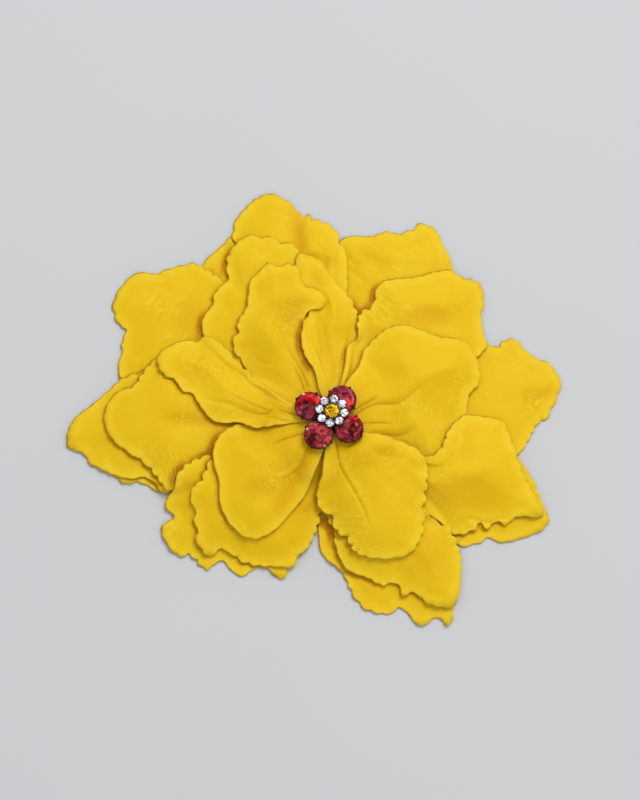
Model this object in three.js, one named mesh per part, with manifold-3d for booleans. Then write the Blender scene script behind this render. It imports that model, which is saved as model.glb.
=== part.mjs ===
// A yellow fabric flower with a jewelled middle, of the kind worn on a dress, a hat or in the hair.
// Twenty-two stiffened petals with waved edges are laid over one another on a round felt back, and a
// metal mount with thirteen cut stones is seated on their gathered roots.
// Millimetres, +Z up. The origin is the middle of the felt back, on the surface that it lies on.
import * as THREE from "three";
import { ConvexGeometry } from "three/addons/geometries/ConvexGeometry.js";
import { mergeVertices } from "three/addons/utils/BufferGeometryUtils.js";
import Module from "manifold-3d";

// ---- Driving dimensions -----------------------------------------------------------------------

const FELT_RADIUS = 21;
const FELT_THICKNESS = 1.5;

const PETAL_THICKNESS = 0.7; // measured straight up, so a sloping blade keeps more than 0.6
const LAYER_GAP = 0.3; // between one petal and the next
const SHEET_GAP = 0.3; // between the lowest petal tips and the surface that the flower lies on
const RIM_WAVE_LENGTH = 8.5;
const RIM_WAVE_REACH = 4.5; // how far in from the edge the waves die away

// Heights of a petal's middle plane at its root, half way out and at its tip, before it is laid
// over the petals below it.
const OUTER = { root: 2.2, middle: 2.4, tip: 1.2 };
const MIDDLE = { root: 4.0, middle: 5.2, tip: 3.8 };
const TOP = { root: 6.5, middle: 8.6, tip: 7.4 };

const RED_STONE_RADIUS = 3.85;
const RED_STONE_PLACES = [
  [3.1, 4.55],
  [-5.64, 2.82],
  [-3.13, -5.18],
  [5.0, -3.45],
];
const CLEAR_STONE_RADIUS = 1.02;
const CLEAR_STONE_CIRCLE = 3.35;
const CLEAR_STONE_COUNT = 8;
const YELLOW_STONE_RADIUS = 1.95;
const CLUSTER_MIDDLE = new THREE.Vector2(0.42, 0.68); // of the ring of clear stones
const JEWEL_SEAT_RADIUS = 9; // the petals inside this radius carry the mount
const CLEAR_STONE_TURN = THREE.MathUtils.degToRad(36); // of the first clear stone round the cluster
const METAL_GAP = 0.12; // between a stone and the metal round it
const PLATE = { radius: 4.5, thickness: 0.6 };
const CUP_WALL = 0.22;
const CUP_FOOT = 0.62; // radius of the foot of a cup, as a share of the stone's radius
const CUP_RIM = { outside: 0.4, inside: 0.3 }; // how far below the girdle its upright part starts
const PRONG_RADIUS = 0.4;
const PRONG_SHANK = 0.9; // how far below the girdle a prong starts
const CLUSTER_THICKNESS = 1.15;
const CLUSTER_WALL = 0.34; // round a clear stone
const CLUSTER_GAP = 0.1; // between a clear stone and its pocket
const POCKET_DEPTH = { yellow: 0.95, clear: 0.55 };
const OPEN_TOP = 1; // how far a cut for a pocket runs out above the plate
const POST = { middle: new THREE.Vector2(-0.15, -0.25), radius: 0.9, inPlate: 0.2 };
// Two rings of pins hold the clear stones, one outside and one inside them.
const PINS = [
  { circle: CLEAR_STONE_CIRCLE + 0.42, radius: 0.3 },
  { circle: CLEAR_STONE_CIRCLE - 0.62, radius: 0.24 },
];
const PIN = { below: 0.5, above: 0.4, taper: 0.6 };

// A cut stone: heights above and below its girdle and radii, as shares of the stone's radius.
const TABLE = { radius: 0.56, height: 0.38 };
const CROWN = { radius: 0.82, height: 0.22 };
const GIRDLE_HEIGHT = 0.04;
const PAVILION = { radius: 0.45, depth: 0.42 };

// Into how many sides the round pieces are split.
const SIDES = {
  felt: 36,
  plate: 16,
  cup: 16,
  prong: 4,
  post: 8,
  cluster: 16,
  yellowPocket: 12,
  scallop: 10,
  clearPocket: 8,
  pin: 5,
  redStone: 8,
  yellowStone: 8,
  clearStone: 5,
};

// How finely each petal is split: rows from root to tip and columns from side to side.
const ROWS = 10;
const COLUMNS = 10;

// ---- Materials --------------------------------------------------------------------------------

const petalCloth = () => new THREE.MeshStandardMaterial({ color: 0xe8bd1c, roughness: 0.5 });
const feltCloth = () => new THREE.MeshStandardMaterial({ color: 0xd9a81e, roughness: 0.95 });
const darkMetal = () => new THREE.MeshStandardMaterial({ color: 0x2b2628, roughness: 0.35, metalness: 1 });
const redGlass = () => new THREE.MeshStandardMaterial({ color: 0x9c1030, roughness: 0.08 });
const clearGlass = () => new THREE.MeshStandardMaterial({ color: 0xe6e4ea, roughness: 0.05 });
const yellowGlass = () => new THREE.MeshStandardMaterial({ color: 0xd9a21a, roughness: 0.08 });

// ---- The petals, in the order in which they are laid --------------------------------------------
// A rim runs anticlockwise, in mm from the flower's middle, from one end of the petal's root round
// its tip to the other end. cup lifts both sides over the middle, tilt lifts the side that the rim
// reaches last, and wave is how far the edge waves up and down. Each fold is a valley (or, with a
// negative depth, a ridge) that runs from the root at one share of the width to the tip at another.

const fold = (from, to, depth, width) => ({ from, to, depth, width });

const PETALS = [
  {
    name: "petal_outer_north_back",
    layer: OUTER,
    cup: 0.2,
    tilt: 0,
    wave: 0.2,
    folds: [],
    rim: [
      [-4.4, 17.3], [-12.4, 32.6], [-21.5, 49.5], [-26.8, 54.1], [-30, 51.3], [-34.7, 46.6],
      [-35.8, 40.9], [-30.7, 28.4], [-18.6, 17.8], [-11, 15.1],
    ],
  },
  {
    name: "petal_outer_north_east",
    layer: OUTER,
    cup: 0.6,
    tilt: -0.6,
    wave: 0.3,
    folds: [fold(0.5, 0.35, 0.42, 0.12)],
    rim: [
      [8.7, 15], [19.1, 22.5], [32.3, 35.5], [33.5, 45.3], [30.8, 52.2], [28.6, 56.5], [24.8, 58],
      [22.6, 56.3], [18.7, 55.1], [15.4, 55.6], [11.8, 54.3], [5.5, 54.2], [2.7, 52.8], [0.2, 46.2],
      [0, 32.7], [1.9, 17.9],
    ],
  },
  {
    name: "petal_outer_north",
    layer: OUTER,
    cup: 0.4,
    tilt: 0.2,
    wave: 0.3,
    folds: [fold(0.5, 0.52, 0.78, 0.1), fold(0.3, 0.25, -0.48, 0.14)],
    rim: [
      [1, 17.6], [4.3, 26.5], [4.6, 40], [4.1, 49.9], [2.3, 52.3], [1.9, 55.6], [-2.5, 58.9],
      [-4.6, 59.2], [-5.4, 60.5], [-7.5, 60.4], [-10.8, 63.6], [-16.2, 66.5], [-20.7, 64.9],
      [-23.5, 62.2], [-26.1, 58.7], [-26.9, 54.3], [-24.7, 43.7], [-17.8, 27.9], [-7.1, 15.4],
    ],
  },
  {
    name: "petal_outer_north_west",
    layer: OUTER,
    cup: 0.5,
    tilt: 0.4,
    wave: 0.3,
    folds: [fold(0.5, 0.55, 0.54, 0.14)],
    rim: [
      [-8.8, 15.7], [-17, 25.2], [-25.8, 37.3], [-32.4, 43.4], [-37.1, 46.5], [-39.1, 46.3],
      [-45.7, 44.4], [-47.6, 43.4], [-52.8, 43.7], [-56.9, 40.4], [-59.7, 34.6], [-58.2, 29.3],
      [-56.2, 27.6], [-57.2, 23.1], [-56.7, 21.9], [-57.8, 17.7], [-57.1, 13.6], [-51.9, 10.4],
      [-35.5, 6.8], [-13.7, 8.2],
    ],
  },
  {
    name: "petal_outer_west_back",
    layer: OUTER,
    cup: 0.2,
    tilt: 0,
    wave: 0.2,
    folds: [],
    rim: [
      [-13.7, 5.5], [-30, 3.7], [-51.8, -1], [-61.5, -8.1], [-59.3, -12.9], [-55.7, -16],
      [-52.7, -15.3], [-49.7, -16.3], [-45.1, -18.5], [-38, -15.9], [-24.5, -8.5], [-13.1, -2.4],
    ],
  },
  {
    name: "petal_outer_west",
    layer: OUTER,
    cup: 0.5,
    tilt: 0.3,
    wave: 0.3,
    folds: [fold(0.5, 0.5, 0.48, 0.12)],
    rim: [
      [-12.6, 8.5], [-27.3, 13.7], [-46.4, 16.1], [-57, 13.3], [-60.1, 10.4], [-66, 5.2],
      [-70, 1.8], [-71.7, -3.5], [-70.7, -6.5], [-67.8, -6.9], [-65.5, -10.2], [-59.2, -13.3],
      [-54.1, -14.6], [-51.3, -14], [-48.1, -15.3], [-45, -18.5], [-35.3, -13.7], [-14.2, 0.7],
    ],
  },
  {
    name: "petal_outer_east",
    layer: OUTER,
    cup: 0.4,
    tilt: -0.3,
    wave: 0.3,
    folds: [fold(0.5, 0.45, 0.48, 0.12)],
    rim: [
      [14.6, -2.5], [24.4, -6], [38, -10.4], [50.7, -7.7], [53.5, -4.4], [56.6, 1.1], [58.8, 2.2],
      [61.9, 8.4], [62.8, 12.9], [59.6, 18.2], [57.6, 18.6], [53.6, 21.4], [50.6, 24.7],
      [47.6, 24.4], [45.4, 22.6], [42.4, 24.1], [36.1, 26.8], [21.8, 16], [13.6, 7.7],
    ],
  },
  {
    name: "petal_outer_south_east",
    layer: OUTER,
    cup: 0.2,
    tilt: 0.2,
    wave: 0.3,
    folds: [],
    rim: [
      [9.7, -9.8], [18.9, -18.2], [29.7, -29.9], [35.3, -33.1], [40.5, -32.2], [42.8, -30.7],
      [45.9, -32.1], [52.1, -30.8], [57.6, -28.5], [59.2, -25.9], [58, -22.4], [53.7, -12.7],
      [46.1, -4.7], [32.5, -0.5], [14.1, -1.6],
    ],
  },
  {
    name: "petal_outer_south",
    layer: OUTER,
    cup: 0.5,
    tilt: 0,
    wave: 0.4,
    folds: [fold(0.5, 0.6, 0.48, 0.12)],
    rim: [
      [-0.6, -12.6], [-3.3, -17.6], [-3.1, -29.5], [-2, -35.6], [3.2, -40.6], [6.4, -47.5],
      [9.6, -50.8], [16.1, -51.9], [18.5, -50.1], [21.2, -52.1], [24.1, -55.2], [29, -52.9],
      [31.9, -55.2], [33.2, -50.4], [34.5, -40.4], [29.7, -26.9], [17.8, -14.1], [6.4, -10],
    ],
  },
  {
    name: "petal_middle_west",
    layer: MIDDLE,
    cup: 0.6,
    tilt: 0.6,
    wave: 0.4,
    folds: [fold(0.55, 0.5, 0.6, 0.1)],
    rim: [
      [-9, 6], [-24.6, 12.3], [-38.2, 18.1], [-46.9, 18.6], [-51.5, 14.4], [-53.7, 11],
      [-57.7, 9.6], [-60.7, 5.7], [-61.4, 1], [-59.2, -4.1], [-54.6, -7.9], [-50, -11.2],
      [-46.1, -16], [-43.9, -18.3], [-37.9, -15.9], [-31.2, -8.4], [-21.8, -3.2], [-9.6, -0.1],
    ],
  },
  {
    name: "petal_outer_south_west",
    layer: OUTER,
    cup: 0.6,
    tilt: -0.8,
    wave: 0.4,
    folds: [fold(0.5, 0.45, 0.36, 0.14)],
    rim: [
      [-12.6, -4], [-21.8, -5.2], [-32, -8.4], [-39, -11.3], [-42, -15.2], [-42.2, -17.8],
      [-44.4, -20.4], [-44.4, -23], [-42.2, -25.1], [-45.5, -27.9], [-45.4, -30.3], [-44.1, -33],
      [-41.4, -36], [-37.9, -36], [-33.5, -39.8], [-29.8, -37.2], [-26.5, -40], [-24.1, -41.5],
      [-20.1, -39.2], [-16.8, -39.6], [-13.6, -42.4], [-10.6, -39.2], [-7.6, -33.7], [-4.9, -21],
      [-6, -10.9],
    ],
  },
  {
    name: "petal_middle_south_west",
    layer: MIDDLE,
    cup: 0.5,
    tilt: -0.8,
    wave: 0.4,
    folds: [fold(0.45, 0.4, 0.48, 0.12)],
    rim: [
      [-7.7, -1.9], [-21.7, -4.4], [-32, -9.6], [-33.8, -12.5], [-35.2, -16], [-37.1, -17.7],
      [-37.9, -21], [-36.2, -24.9], [-37.1, -26.9], [-35.7, -29.4], [-36.5, -32.1], [-35.1, -34.1],
      [-33.1, -36.5], [-30.3, -34.9], [-27.9, -35], [-25.7, -37], [-21.7, -38.6], [-16.3, -39],
      [-10.1, -39], [-8.7, -35.7], [-7.1, -35], [-4.9, -31.5], [-2.8, -25.8], [-2.2, -15.9],
      [-2.2, -6.8],
    ],
  },
  {
    name: "petal_middle_north_west",
    layer: MIDDLE,
    cup: 0.8,
    tilt: 0.8,
    wave: 0.4,
    folds: [fold(0.5, 0.45, 0.48, 0.12)],
    rim: [
      [-2.8, 12.2], [-5, 26.1], [-6.1, 38.6], [-8.7, 49.2], [-11, 51.6], [-13.8, 51.6],
      [-16.5, 53.5], [-18.7, 53], [-21.7, 54.2], [-25, 52.5], [-27.8, 49.2], [-28.6, 45.7],
      [-28.3, 41.5], [-31.8, 37.1], [-32, 34.1], [-34.2, 31], [-35, 27.7], [-33.8, 23.8],
      [-25.9, 15.7], [-8.8, 7.7],
    ],
  },
  {
    name: "petal_top_north_west",
    layer: { root: 6.5, middle: 9.6, tip: 10.2 },
    cup: 0.4,
    tilt: -0.8,
    wave: 0.35,
    folds: [fold(0.5, 0.5, 0.72, 0.1), fold(0.75, 0.7, -0.48, 0.12)],
    rim: [
      [-2.2, 9.5], [-3.9, 14.8], [-6, 18.9], [-7.7, 22.1], [-8.6, 24.3], [-8.1, 27.8], [-6.9, 30.8],
      [-5.6, 32.2], [-2.5, 32.7], [-1.3, 35.3], [-2.8, 37.4], [-7.8, 39.7], [-8.2, 43.1],
      [-11, 45.1], [-14.8, 44.2], [-17, 45.2], [-19.7, 42.4], [-21.6, 40.7], [-22.4, 35.5],
      [-22.8, 32.2], [-25.4, 27.8], [-25.1, 25.7], [-26.7, 23], [-25.6, 20], [-22.6, 18.7],
      [-18.5, 16], [-12.6, 11.9], [-6.6, 6.7],
    ],
  },
  {
    name: "petal_middle_north",
    layer: { root: 6.5, middle: 7.6, tip: 3.6 },
    cup: -0.6,
    tilt: 0,
    wave: 0.25,
    folds: [fold(0.5, 0.55, 0.6, 0.12)],
    // This petal's edge lies over its neighbour near the root and goes under it further out.
    weave: { neighbour: "petal_top_north_west", overUpTo: 24, underFrom: 31 },
    rim: [
      [3.5, 9.8], [4.8, 16.4], [4.8, 21.6], [6.5, 26.9], [5.7, 35], [2.4, 39.3], [-0.9, 43.9],
      [-2.5, 46.7], [-5.3, 48], [-8.3, 48.3], [-8.4, 44.5], [-7.4, 39.8], [-5.8, 36.1],
      [-4.8, 33.4], [-5.9, 30.9], [-7.3, 27.9], [-7.8, 23.5], [-7.5, 20.9], [-6.3, 17.6],
      [-4.1, 14.4], [-2.5, 11], [-0.6, 8.6],
    ],
  },
  {
    name: "petal_middle_north_east",
    layer: MIDDLE,
    cup: 0.8,
    tilt: 1.0,
    wave: 0.4,
    folds: [fold(0.5, 0.45, 0.48, 0.12)],
    rim: [
      [5.9, 6], [21.7, 10.9], [35.9, 16.2], [42.9, 22.8], [42, 25.3], [41.3, 31.7], [42, 34.9],
      [41.7, 39.5], [39.7, 41.5], [36.4, 42.3], [32.9, 44.2], [29, 43.6], [24.1, 42], [15.8, 40.9],
      [13.1, 39.2], [11.4, 33.5], [8.4, 31.9], [7.3, 27.8], [7.6, 24.6], [4.8, 21.6], [4.3, 16],
      [3.2, 10],
    ],
  },
  {
    name: "petal_top_east",
    layer: TOP,
    cup: 1.0,
    tilt: 0.8,
    wave: 0.35,
    folds: [fold(0.35, 0.3, 0.6, 0.09), fold(0.65, 0.6, 0.54, 0.09), fold(0.5, 0.5, -0.36, 0.1)],
    rim: [
      [5.9, -1.9], [11.3, -6.1], [18.9, -8.8], [26.4, -9.1], [29.9, -6.3], [32.4, -0.3],
      [36.3, 3.1], [37.7, 8.5], [40.7, 12.1], [40.1, 18], [36.4, 23.2], [29.1, 24.3], [23.1, 26.5],
      [19, 27.2], [14.6, 25.7], [9.2, 20.4], [8.1, 16.1], [5.4, 12.2], [3.2, 9.2],
    ],
  },
  {
    name: "petal_middle_south_east",
    layer: { root: 6, middle: 7.4, tip: 3.4 },
    cup: -0.4,
    tilt: 0.6,
    wave: 0.4,
    folds: [],
    rim: [
      [4.8, -4.2], [16.1, -16.1], [25.5, -24.5], [29.1, -26.5], [33.1, -30.2], [38.8, -29.3],
      [40.2, -27.3], [42.4, -28.7], [45.1, -26.5], [47.2, -27.6], [50.5, -25.3], [57.4, -25.1],
      [56.7, -22], [52.5, -13.5], [50.6, -8.2], [48, -1.2], [46.9, 0.9], [40, 2.4], [36.2, 2.1],
      [32.1, -2.1], [29.6, -7.6], [25.6, -9.7], [16.1, -6.6], [7, -1.1],
    ],
  },
  {
    name: "petal_middle_south",
    layer: { root: 6, middle: 6.4, tip: 4.2 },
    cup: 0.4,
    tilt: 0,
    wave: 0.4,
    folds: [fold(0.5, 0.55, 0.36, 0.12)],
    rim: [
      [-0.6, -7.4], [-2.8, -16.6], [-1.4, -25.3], [1, -29.4], [1.1, -32.4], [4.2, -39.7],
      [10.1, -42.4], [13.9, -44.5], [17.7, -43.9], [19.3, -47.1], [23.1, -46.8], [25.5, -49.2],
      [28.9, -50.3], [32.4, -50.2], [34.3, -47.7], [35.2, -40.3], [34.9, -34.4], [32, -28.5],
      [28.7, -27.2], [24.2, -22.6], [16.1, -14.4], [5.3, -6.2],
    ],
  },
  {
    name: "petal_top_south_west",
    layer: TOP,
    cup: 1.0,
    tilt: -0.6,
    wave: 0.3,
    folds: [fold(0.7, 0.6, 0.6, 0.09), fold(0.3, 0.4, -0.36, 0.14)],
    rim: [
      [-7.1, -0.2], [-16.3, -0.2], [-24.4, -0.4], [-29.3, -2.8], [-31.5, -7.1], [-31.4, -11.6],
      [-30, -16.4], [-29.7, -22.7], [-27.6, -27.4], [-24.1, -31.1], [-20.3, -32.1], [-15.2, -29.9],
      [-10.9, -25.1], [-6.8, -19.6], [-3.9, -12], [-2.2, -6.9],
    ],
  },
  {
    name: "petal_top_west",
    layer: TOP,
    cup: 0.5,
    tilt: -0.4,
    wave: 0.4,
    folds: [fold(0.35, 0.45, 0.6, 0.09), fold(0.7, 0.75, 0.48, 0.08), fold(0.2, 0.2, -0.36, 0.1)],
    rim: [
      [-6, 4.8], [-18, 10.4], [-25.3, 17.2], [-30.5, 22.6], [-34.1, 24.4], [-36.5, 23.1],
      [-38.7, 23.7], [-45, 21.3], [-47.2, 18.2], [-45.7, 13.8], [-41.9, 11.5], [-40.5, 8.8],
      [-37.8, 8.2], [-34.7, 3.7], [-31.2, 0.4], [-24.4, 0], [-21.2, -1.5], [-15, -1.6],
      [-7.7, -0.5],
    ],
  },
  {
    name: "petal_top_south",
    layer: TOP,
    cup: 0.8,
    tilt: 0.6,
    wave: 0.4,
    folds: [fold(0.35, 0.5, 0.84, 0.09), fold(0.75, 0.78, -0.48, 0.14)],
    rim: [
      [-0.1, -6], [-1.7, -14.7], [-3.6, -19.7], [-2.8, -23.9], [0.2, -25.9], [1.3, -30.2],
      [3.9, -31.8], [6.6, -35.9], [12, -37.7], [18.2, -37.5], [21.7, -36.1], [23.3, -34.2],
      [25.2, -30], [25.6, -22.9], [26.3, -13.5], [25, -9.9], [21.8, -6.8], [15.1, -4.7],
      [8.6, -4.4], [5.3, -3.6],
    ],
  },
];

// ---- Rims and nets ------------------------------------------------------------------------------

const SPAN_STEPS = 6; // straight pieces between two points of a rim
const SIDE_SHARE = 0.36; // of the rim's length along each side; the rest is the tip
const EVEN_PASSES = 120;

const smoothStep = (x) => THREE.MathUtils.smoothstep(x, 0, 1);

// A smooth curve through the points, measured by its length: at(0) is its start and at(1) its end.
function curveThrough(points) {
  const places = points.map(([x, y]) => new THREE.Vector2(x, y));
  const directions = places.map((place, i) => {
    const before = places[Math.max(i - 1, 0)];
    const after = places[Math.min(i + 1, places.length - 1)];
    return after.clone().sub(before).normalize();
  });
  const samples = [places[0]];
  for (let i = 0; i + 1 < places.length; i++) {
    const span = places[i].distanceTo(places[i + 1]);
    for (let k = 1; k <= SPAN_STEPS; k++) {
      const t = k / SPAN_STEPS;
      samples.push(
        places[i]
          .clone()
          .multiplyScalar(2 * t ** 3 - 3 * t ** 2 + 1)
          .addScaledVector(places[i + 1], 3 * t ** 2 - 2 * t ** 3)
          .addScaledVector(directions[i], span * (t ** 3 - 2 * t ** 2 + t))
          .addScaledVector(directions[i + 1], span * (t ** 3 - t ** 2)),
      );
    }
  }
  const reached = [0];
  for (let i = 1; i < samples.length; i++) {
    reached.push(reached[i - 1] + samples[i].distanceTo(samples[i - 1]));
  }
  const length = reached[reached.length - 1];
  const at = (share) => {
    const wanted = THREE.MathUtils.clamp(share, 0, 1) * length;
    let i = 1;
    while (i < reached.length - 1 && reached[i] < wanted) i++;
    const part = (wanted - reached[i - 1]) / (reached[i] - reached[i - 1]);
    return samples[i - 1].clone().lerp(samples[i], part);
  };
  return { at, length };
}

// The place in plan that lies the share out from the root to the tip and the share across from the
// first side to the last, blended from the four edges of the petal.
function placeOn(rim, out, across) {
  const first = rim.at(SIDE_SHARE * out);
  const last = rim.at(1 - SIDE_SHARE * out);
  const tip = rim.at(THREE.MathUtils.lerp(SIDE_SHARE, 1 - SIDE_SHARE, across));
  const root = rim.at(0).lerp(rim.at(1), across);
  const corners = rim.at(0).lerp(rim.at(1), across).multiplyScalar(1 - out);
  corners.addScaledVector(rim.at(SIDE_SHARE).lerp(rim.at(1 - SIDE_SHARE), across), out);
  return first
    .lerp(last, across)
    .add(root.multiplyScalar(1 - out))
    .add(tip.multiplyScalar(out))
    .sub(corners);
}

// Moves the inner places of the grid until its rows and columns run evenly and never cross.
function evenOut(places, grid) {
  for (let pass = 0; pass < EVEN_PASSES; pass++) {
    for (let i = 1; i < ROWS; i++) {
      for (let j = 1; j < COLUMNS; j++) {
        const at = (up, right) => places[grid[i + up][j + right]];
        const alongRow = at(0, 1).clone().sub(at(0, -1));
        const alongColumn = at(1, 0).clone().sub(at(-1, 0));
        const ends = alongRow.lengthSq();
        const sides = alongColumn.lengthSq();
        const skew = alongRow.dot(alongColumn) / 2;
        const place = at(1, 0).clone().add(at(-1, 0)).multiplyScalar(ends);
        place.addScaledVector(at(0, 1), sides).addScaledVector(at(0, -1), sides);
        place.addScaledVector(at(1, 1), -skew).addScaledVector(at(-1, -1), -skew);
        place.addScaledVector(at(-1, 1), skew).addScaledVector(at(1, -1), skew);
        at(0, 0).copy(place.divideScalar(2 * (ends + sides)));
      }
    }
  }
}

// The rim's waves, which are full at the edge and die away inwards.
function rimWave(rim, out, across, width, length) {
  const wave = (share) => Math.sin((2 * Math.PI * share * rim.length) / RIM_WAVE_LENGTH);
  const nearness = (distance) => Math.exp(-((distance / RIM_WAVE_REACH) ** 2));
  const edges = [
    [nearness(across * width), SIDE_SHARE * out],
    [nearness((1 - across) * width), 1 - SIDE_SHARE * out],
    [nearness((1 - out) * length), THREE.MathUtils.lerp(SIDE_SHARE, 1 - SIDE_SHARE, across)],
  ];
  let sum = 0;
  let weight = 0;
  for (const [near, share] of edges) {
    sum += near * wave(share);
    weight += near;
  }
  return (sum / Math.max(weight, 1)) * smoothStep(out * 2);
}

// The height of the petal's middle plane before it is laid.
function freeHeight(petal, rim, out, across) {
  const { root, middle, tip } = petal.layer;
  const width = rim.at(SIDE_SHARE * out).distanceTo(rim.at(1 - SIDE_SHARE * out));
  const length = rim.at(0).distanceTo(rim.at(SIDE_SHARE));
  const side = 2 * across - 1;
  const arch = middle - (root + tip) / 2;
  let height = THREE.MathUtils.lerp(root, tip, out) + arch * 4 * out * (1 - out);
  height += petal.cup * side ** 2 * smoothStep(out * 1.5);
  height += petal.tilt * side * out;
  for (const { from, to, depth, width: foldWidth } of petal.folds) {
    const offset = (across - THREE.MathUtils.lerp(from, to, out)) / foldWidth;
    height -= depth * Math.exp(-(offset ** 2)) * smoothStep(out * 5) * smoothStep((1 - out) * 1.6);
  }
  return height + petal.wave * rimWave(rim, out, across, width, length);
}

// The petal's net: a grid of rows and columns, with one more point in the middle of each step along
// the rim, so that the edge is finer than the blade.
function petalNet(petal) {
  const rim = curveThrough(petal.rim);
  const shares = [];
  const add = (out, across) => shares.push([out, across]) - 1;
  const grid = [];
  for (let i = 0; i <= ROWS; i++) {
    grid.push([]);
    for (let j = 0; j <= COLUMNS; j++) grid[i].push(add(i / ROWS, j / COLUMNS));
  }
  const firstSide = [];
  const lastSide = [];
  for (let i = 0; i < ROWS; i++) {
    firstSide.push(add((i + 0.5) / ROWS, 0));
    lastSide.push(add((i + 0.5) / ROWS, 1));
  }
  const tip = [];
  for (let j = 0; j < COLUMNS; j++) tip.push(add(1, (j + 0.5) / COLUMNS));

  const triangles = [];
  for (let i = 0; i < ROWS; i++) {
    for (let j = 0; j < COLUMNS; j++) {
      const ring = [grid[i][j]];
      if (j === 0) ring.push(firstSide[i]);
      ring.push(grid[i + 1][j]);
      if (i === ROWS - 1) ring.push(tip[j]);
      ring.push(grid[i + 1][j + 1]);
      if (j === COLUMNS - 1) ring.push(lastSide[i]);
      ring.push(grid[i][j + 1]);
      // The fan starts at a corner that isn't on the rim.
      if (j === 0) ring.unshift(ring.pop());
      for (let k = 1; k + 1 < ring.length; k++) triangles.push([ring[0], ring[k], ring[k + 1]]);
    }
  }

  const border = [];
  for (let i = 0; i < ROWS; i++) border.push(grid[i][0], firstSide[i]);
  for (let j = 0; j < COLUMNS; j++) border.push(grid[ROWS][j], tip[j]);
  for (let i = ROWS; i > 0; i--) border.push(grid[i][COLUMNS], lastSide[i - 1]);
  for (let j = COLUMNS; j > 0; j--) border.push(grid[0][j]);

  const places = shares.map(([out, across]) => placeOn(rim, out, across));
  evenOut(places, grid);
  const heights = shares.map(([out, across]) => freeHeight(petal, rim, out, across));
  return { name: petal.name, weave: petal.weave, places, heights, triangles, border };
}

// ---- Laying the petals over one another ---------------------------------------------------------
// The flower is looked at on a fine square grid in plan. Each petal is pushed up wherever it would
// meet a petal below it, and the lift is spread smoothly over the blade, as a stiffened cloth does.

const CELL = 0.7;
const CELLS = 220; // along each side of the plan grid
const SETTLE_PASSES = 160;
const LIFT_KEPT = 0.985; // of a lift that nothing below asks for, at each pass
const LAST_PASSES = 300;

const cellOf = (x, y) => {
  const column = Math.round(x / CELL + CELLS / 2);
  const row = Math.round(y / CELL + CELLS / 2);
  return row * CELLS + column;
};

// Every cell that the net covers, with the triangle over it and its share of each corner.
function coverOf(net) {
  const cover = [];
  for (const corners of net.triangles) {
    const [a, b, c] = corners.map((corner) => net.places[corner]);
    const ab = b.clone().sub(a);
    const ac = c.clone().sub(a);
    const area = ab.cross(ac);
    const box = new THREE.Box2().setFromPoints([a, b, c]);
    const lowX = Math.ceil(box.min.x / CELL);
    const lowY = Math.ceil(box.min.y / CELL);
    for (let x = lowX; x * CELL <= box.max.x; x++) {
      for (let y = lowY; y * CELL <= box.max.y; y++) {
        const from = new THREE.Vector2(x * CELL, y * CELL).sub(a);
        const second = from.cross(ac) / area;
        const third = ab.cross(from) / area;
        if (second < 0 || third < 0 || second + third > 1) continue;
        const weights = [1 - second - third, second, third];
        cover.push({ cell: cellOf(x * CELL, y * CELL), corners, weights, y: y * CELL });
      }
    }
  }
  net.places.forEach(({ x, y }, i) => {
    cover.push({ cell: cellOf(x, y), corners: [i], weights: [1], y });
  });
  return cover;
}

const heightAt = (spot, heights) =>
  spot.corners.reduce((sum, corner, i) => sum + spot.weights[i] * heights[corner], 0);

// How low and how high the middle plane of the net may lie over each covered cell.
function addLimits(net, cover, laid) {
  for (const spot of cover) {
    const x = ((spot.cell % CELLS) - CELLS / 2) * CELL;
    const onFelt = Math.hypot(x, spot.y) < FELT_RADIUS + CELL;
    spot.lowest = (onFelt ? FELT_THICKNESS + LAYER_GAP : SHEET_GAP) + PETAL_THICKNESS / 2;
    spot.highest = Infinity;
    for (const other of laid) {
      const height = other.heights.get(spot.cell);
      if (height === undefined) continue;
      const step = PETAL_THICKNESS + LAYER_GAP;
      const woven = net.weave && net.weave.neighbour === other.name;
      if (!woven || spot.y < net.weave.overUpTo) {
        spot.lowest = Math.max(spot.lowest, height + step);
      } else if (spot.y > net.weave.underFrom) {
        spot.highest = Math.min(spot.highest, height - step);
      }
    }
  }
}

function push(cover, heights) {
  let worst = 0;
  for (const spot of cover) {
    const height = heightAt(spot, heights);
    const short = Math.max(spot.lowest - height, 0) - Math.max(height - spot.highest, 0);
    if (short === 0) continue;
    worst = Math.max(worst, Math.abs(short));
    const squares = spot.weights.reduce((sum, weight) => sum + weight ** 2, 0);
    spot.corners.forEach((corner, i) => {
      heights[corner] += (short * spot.weights[i]) / squares;
    });
  }
  return worst;
}

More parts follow.
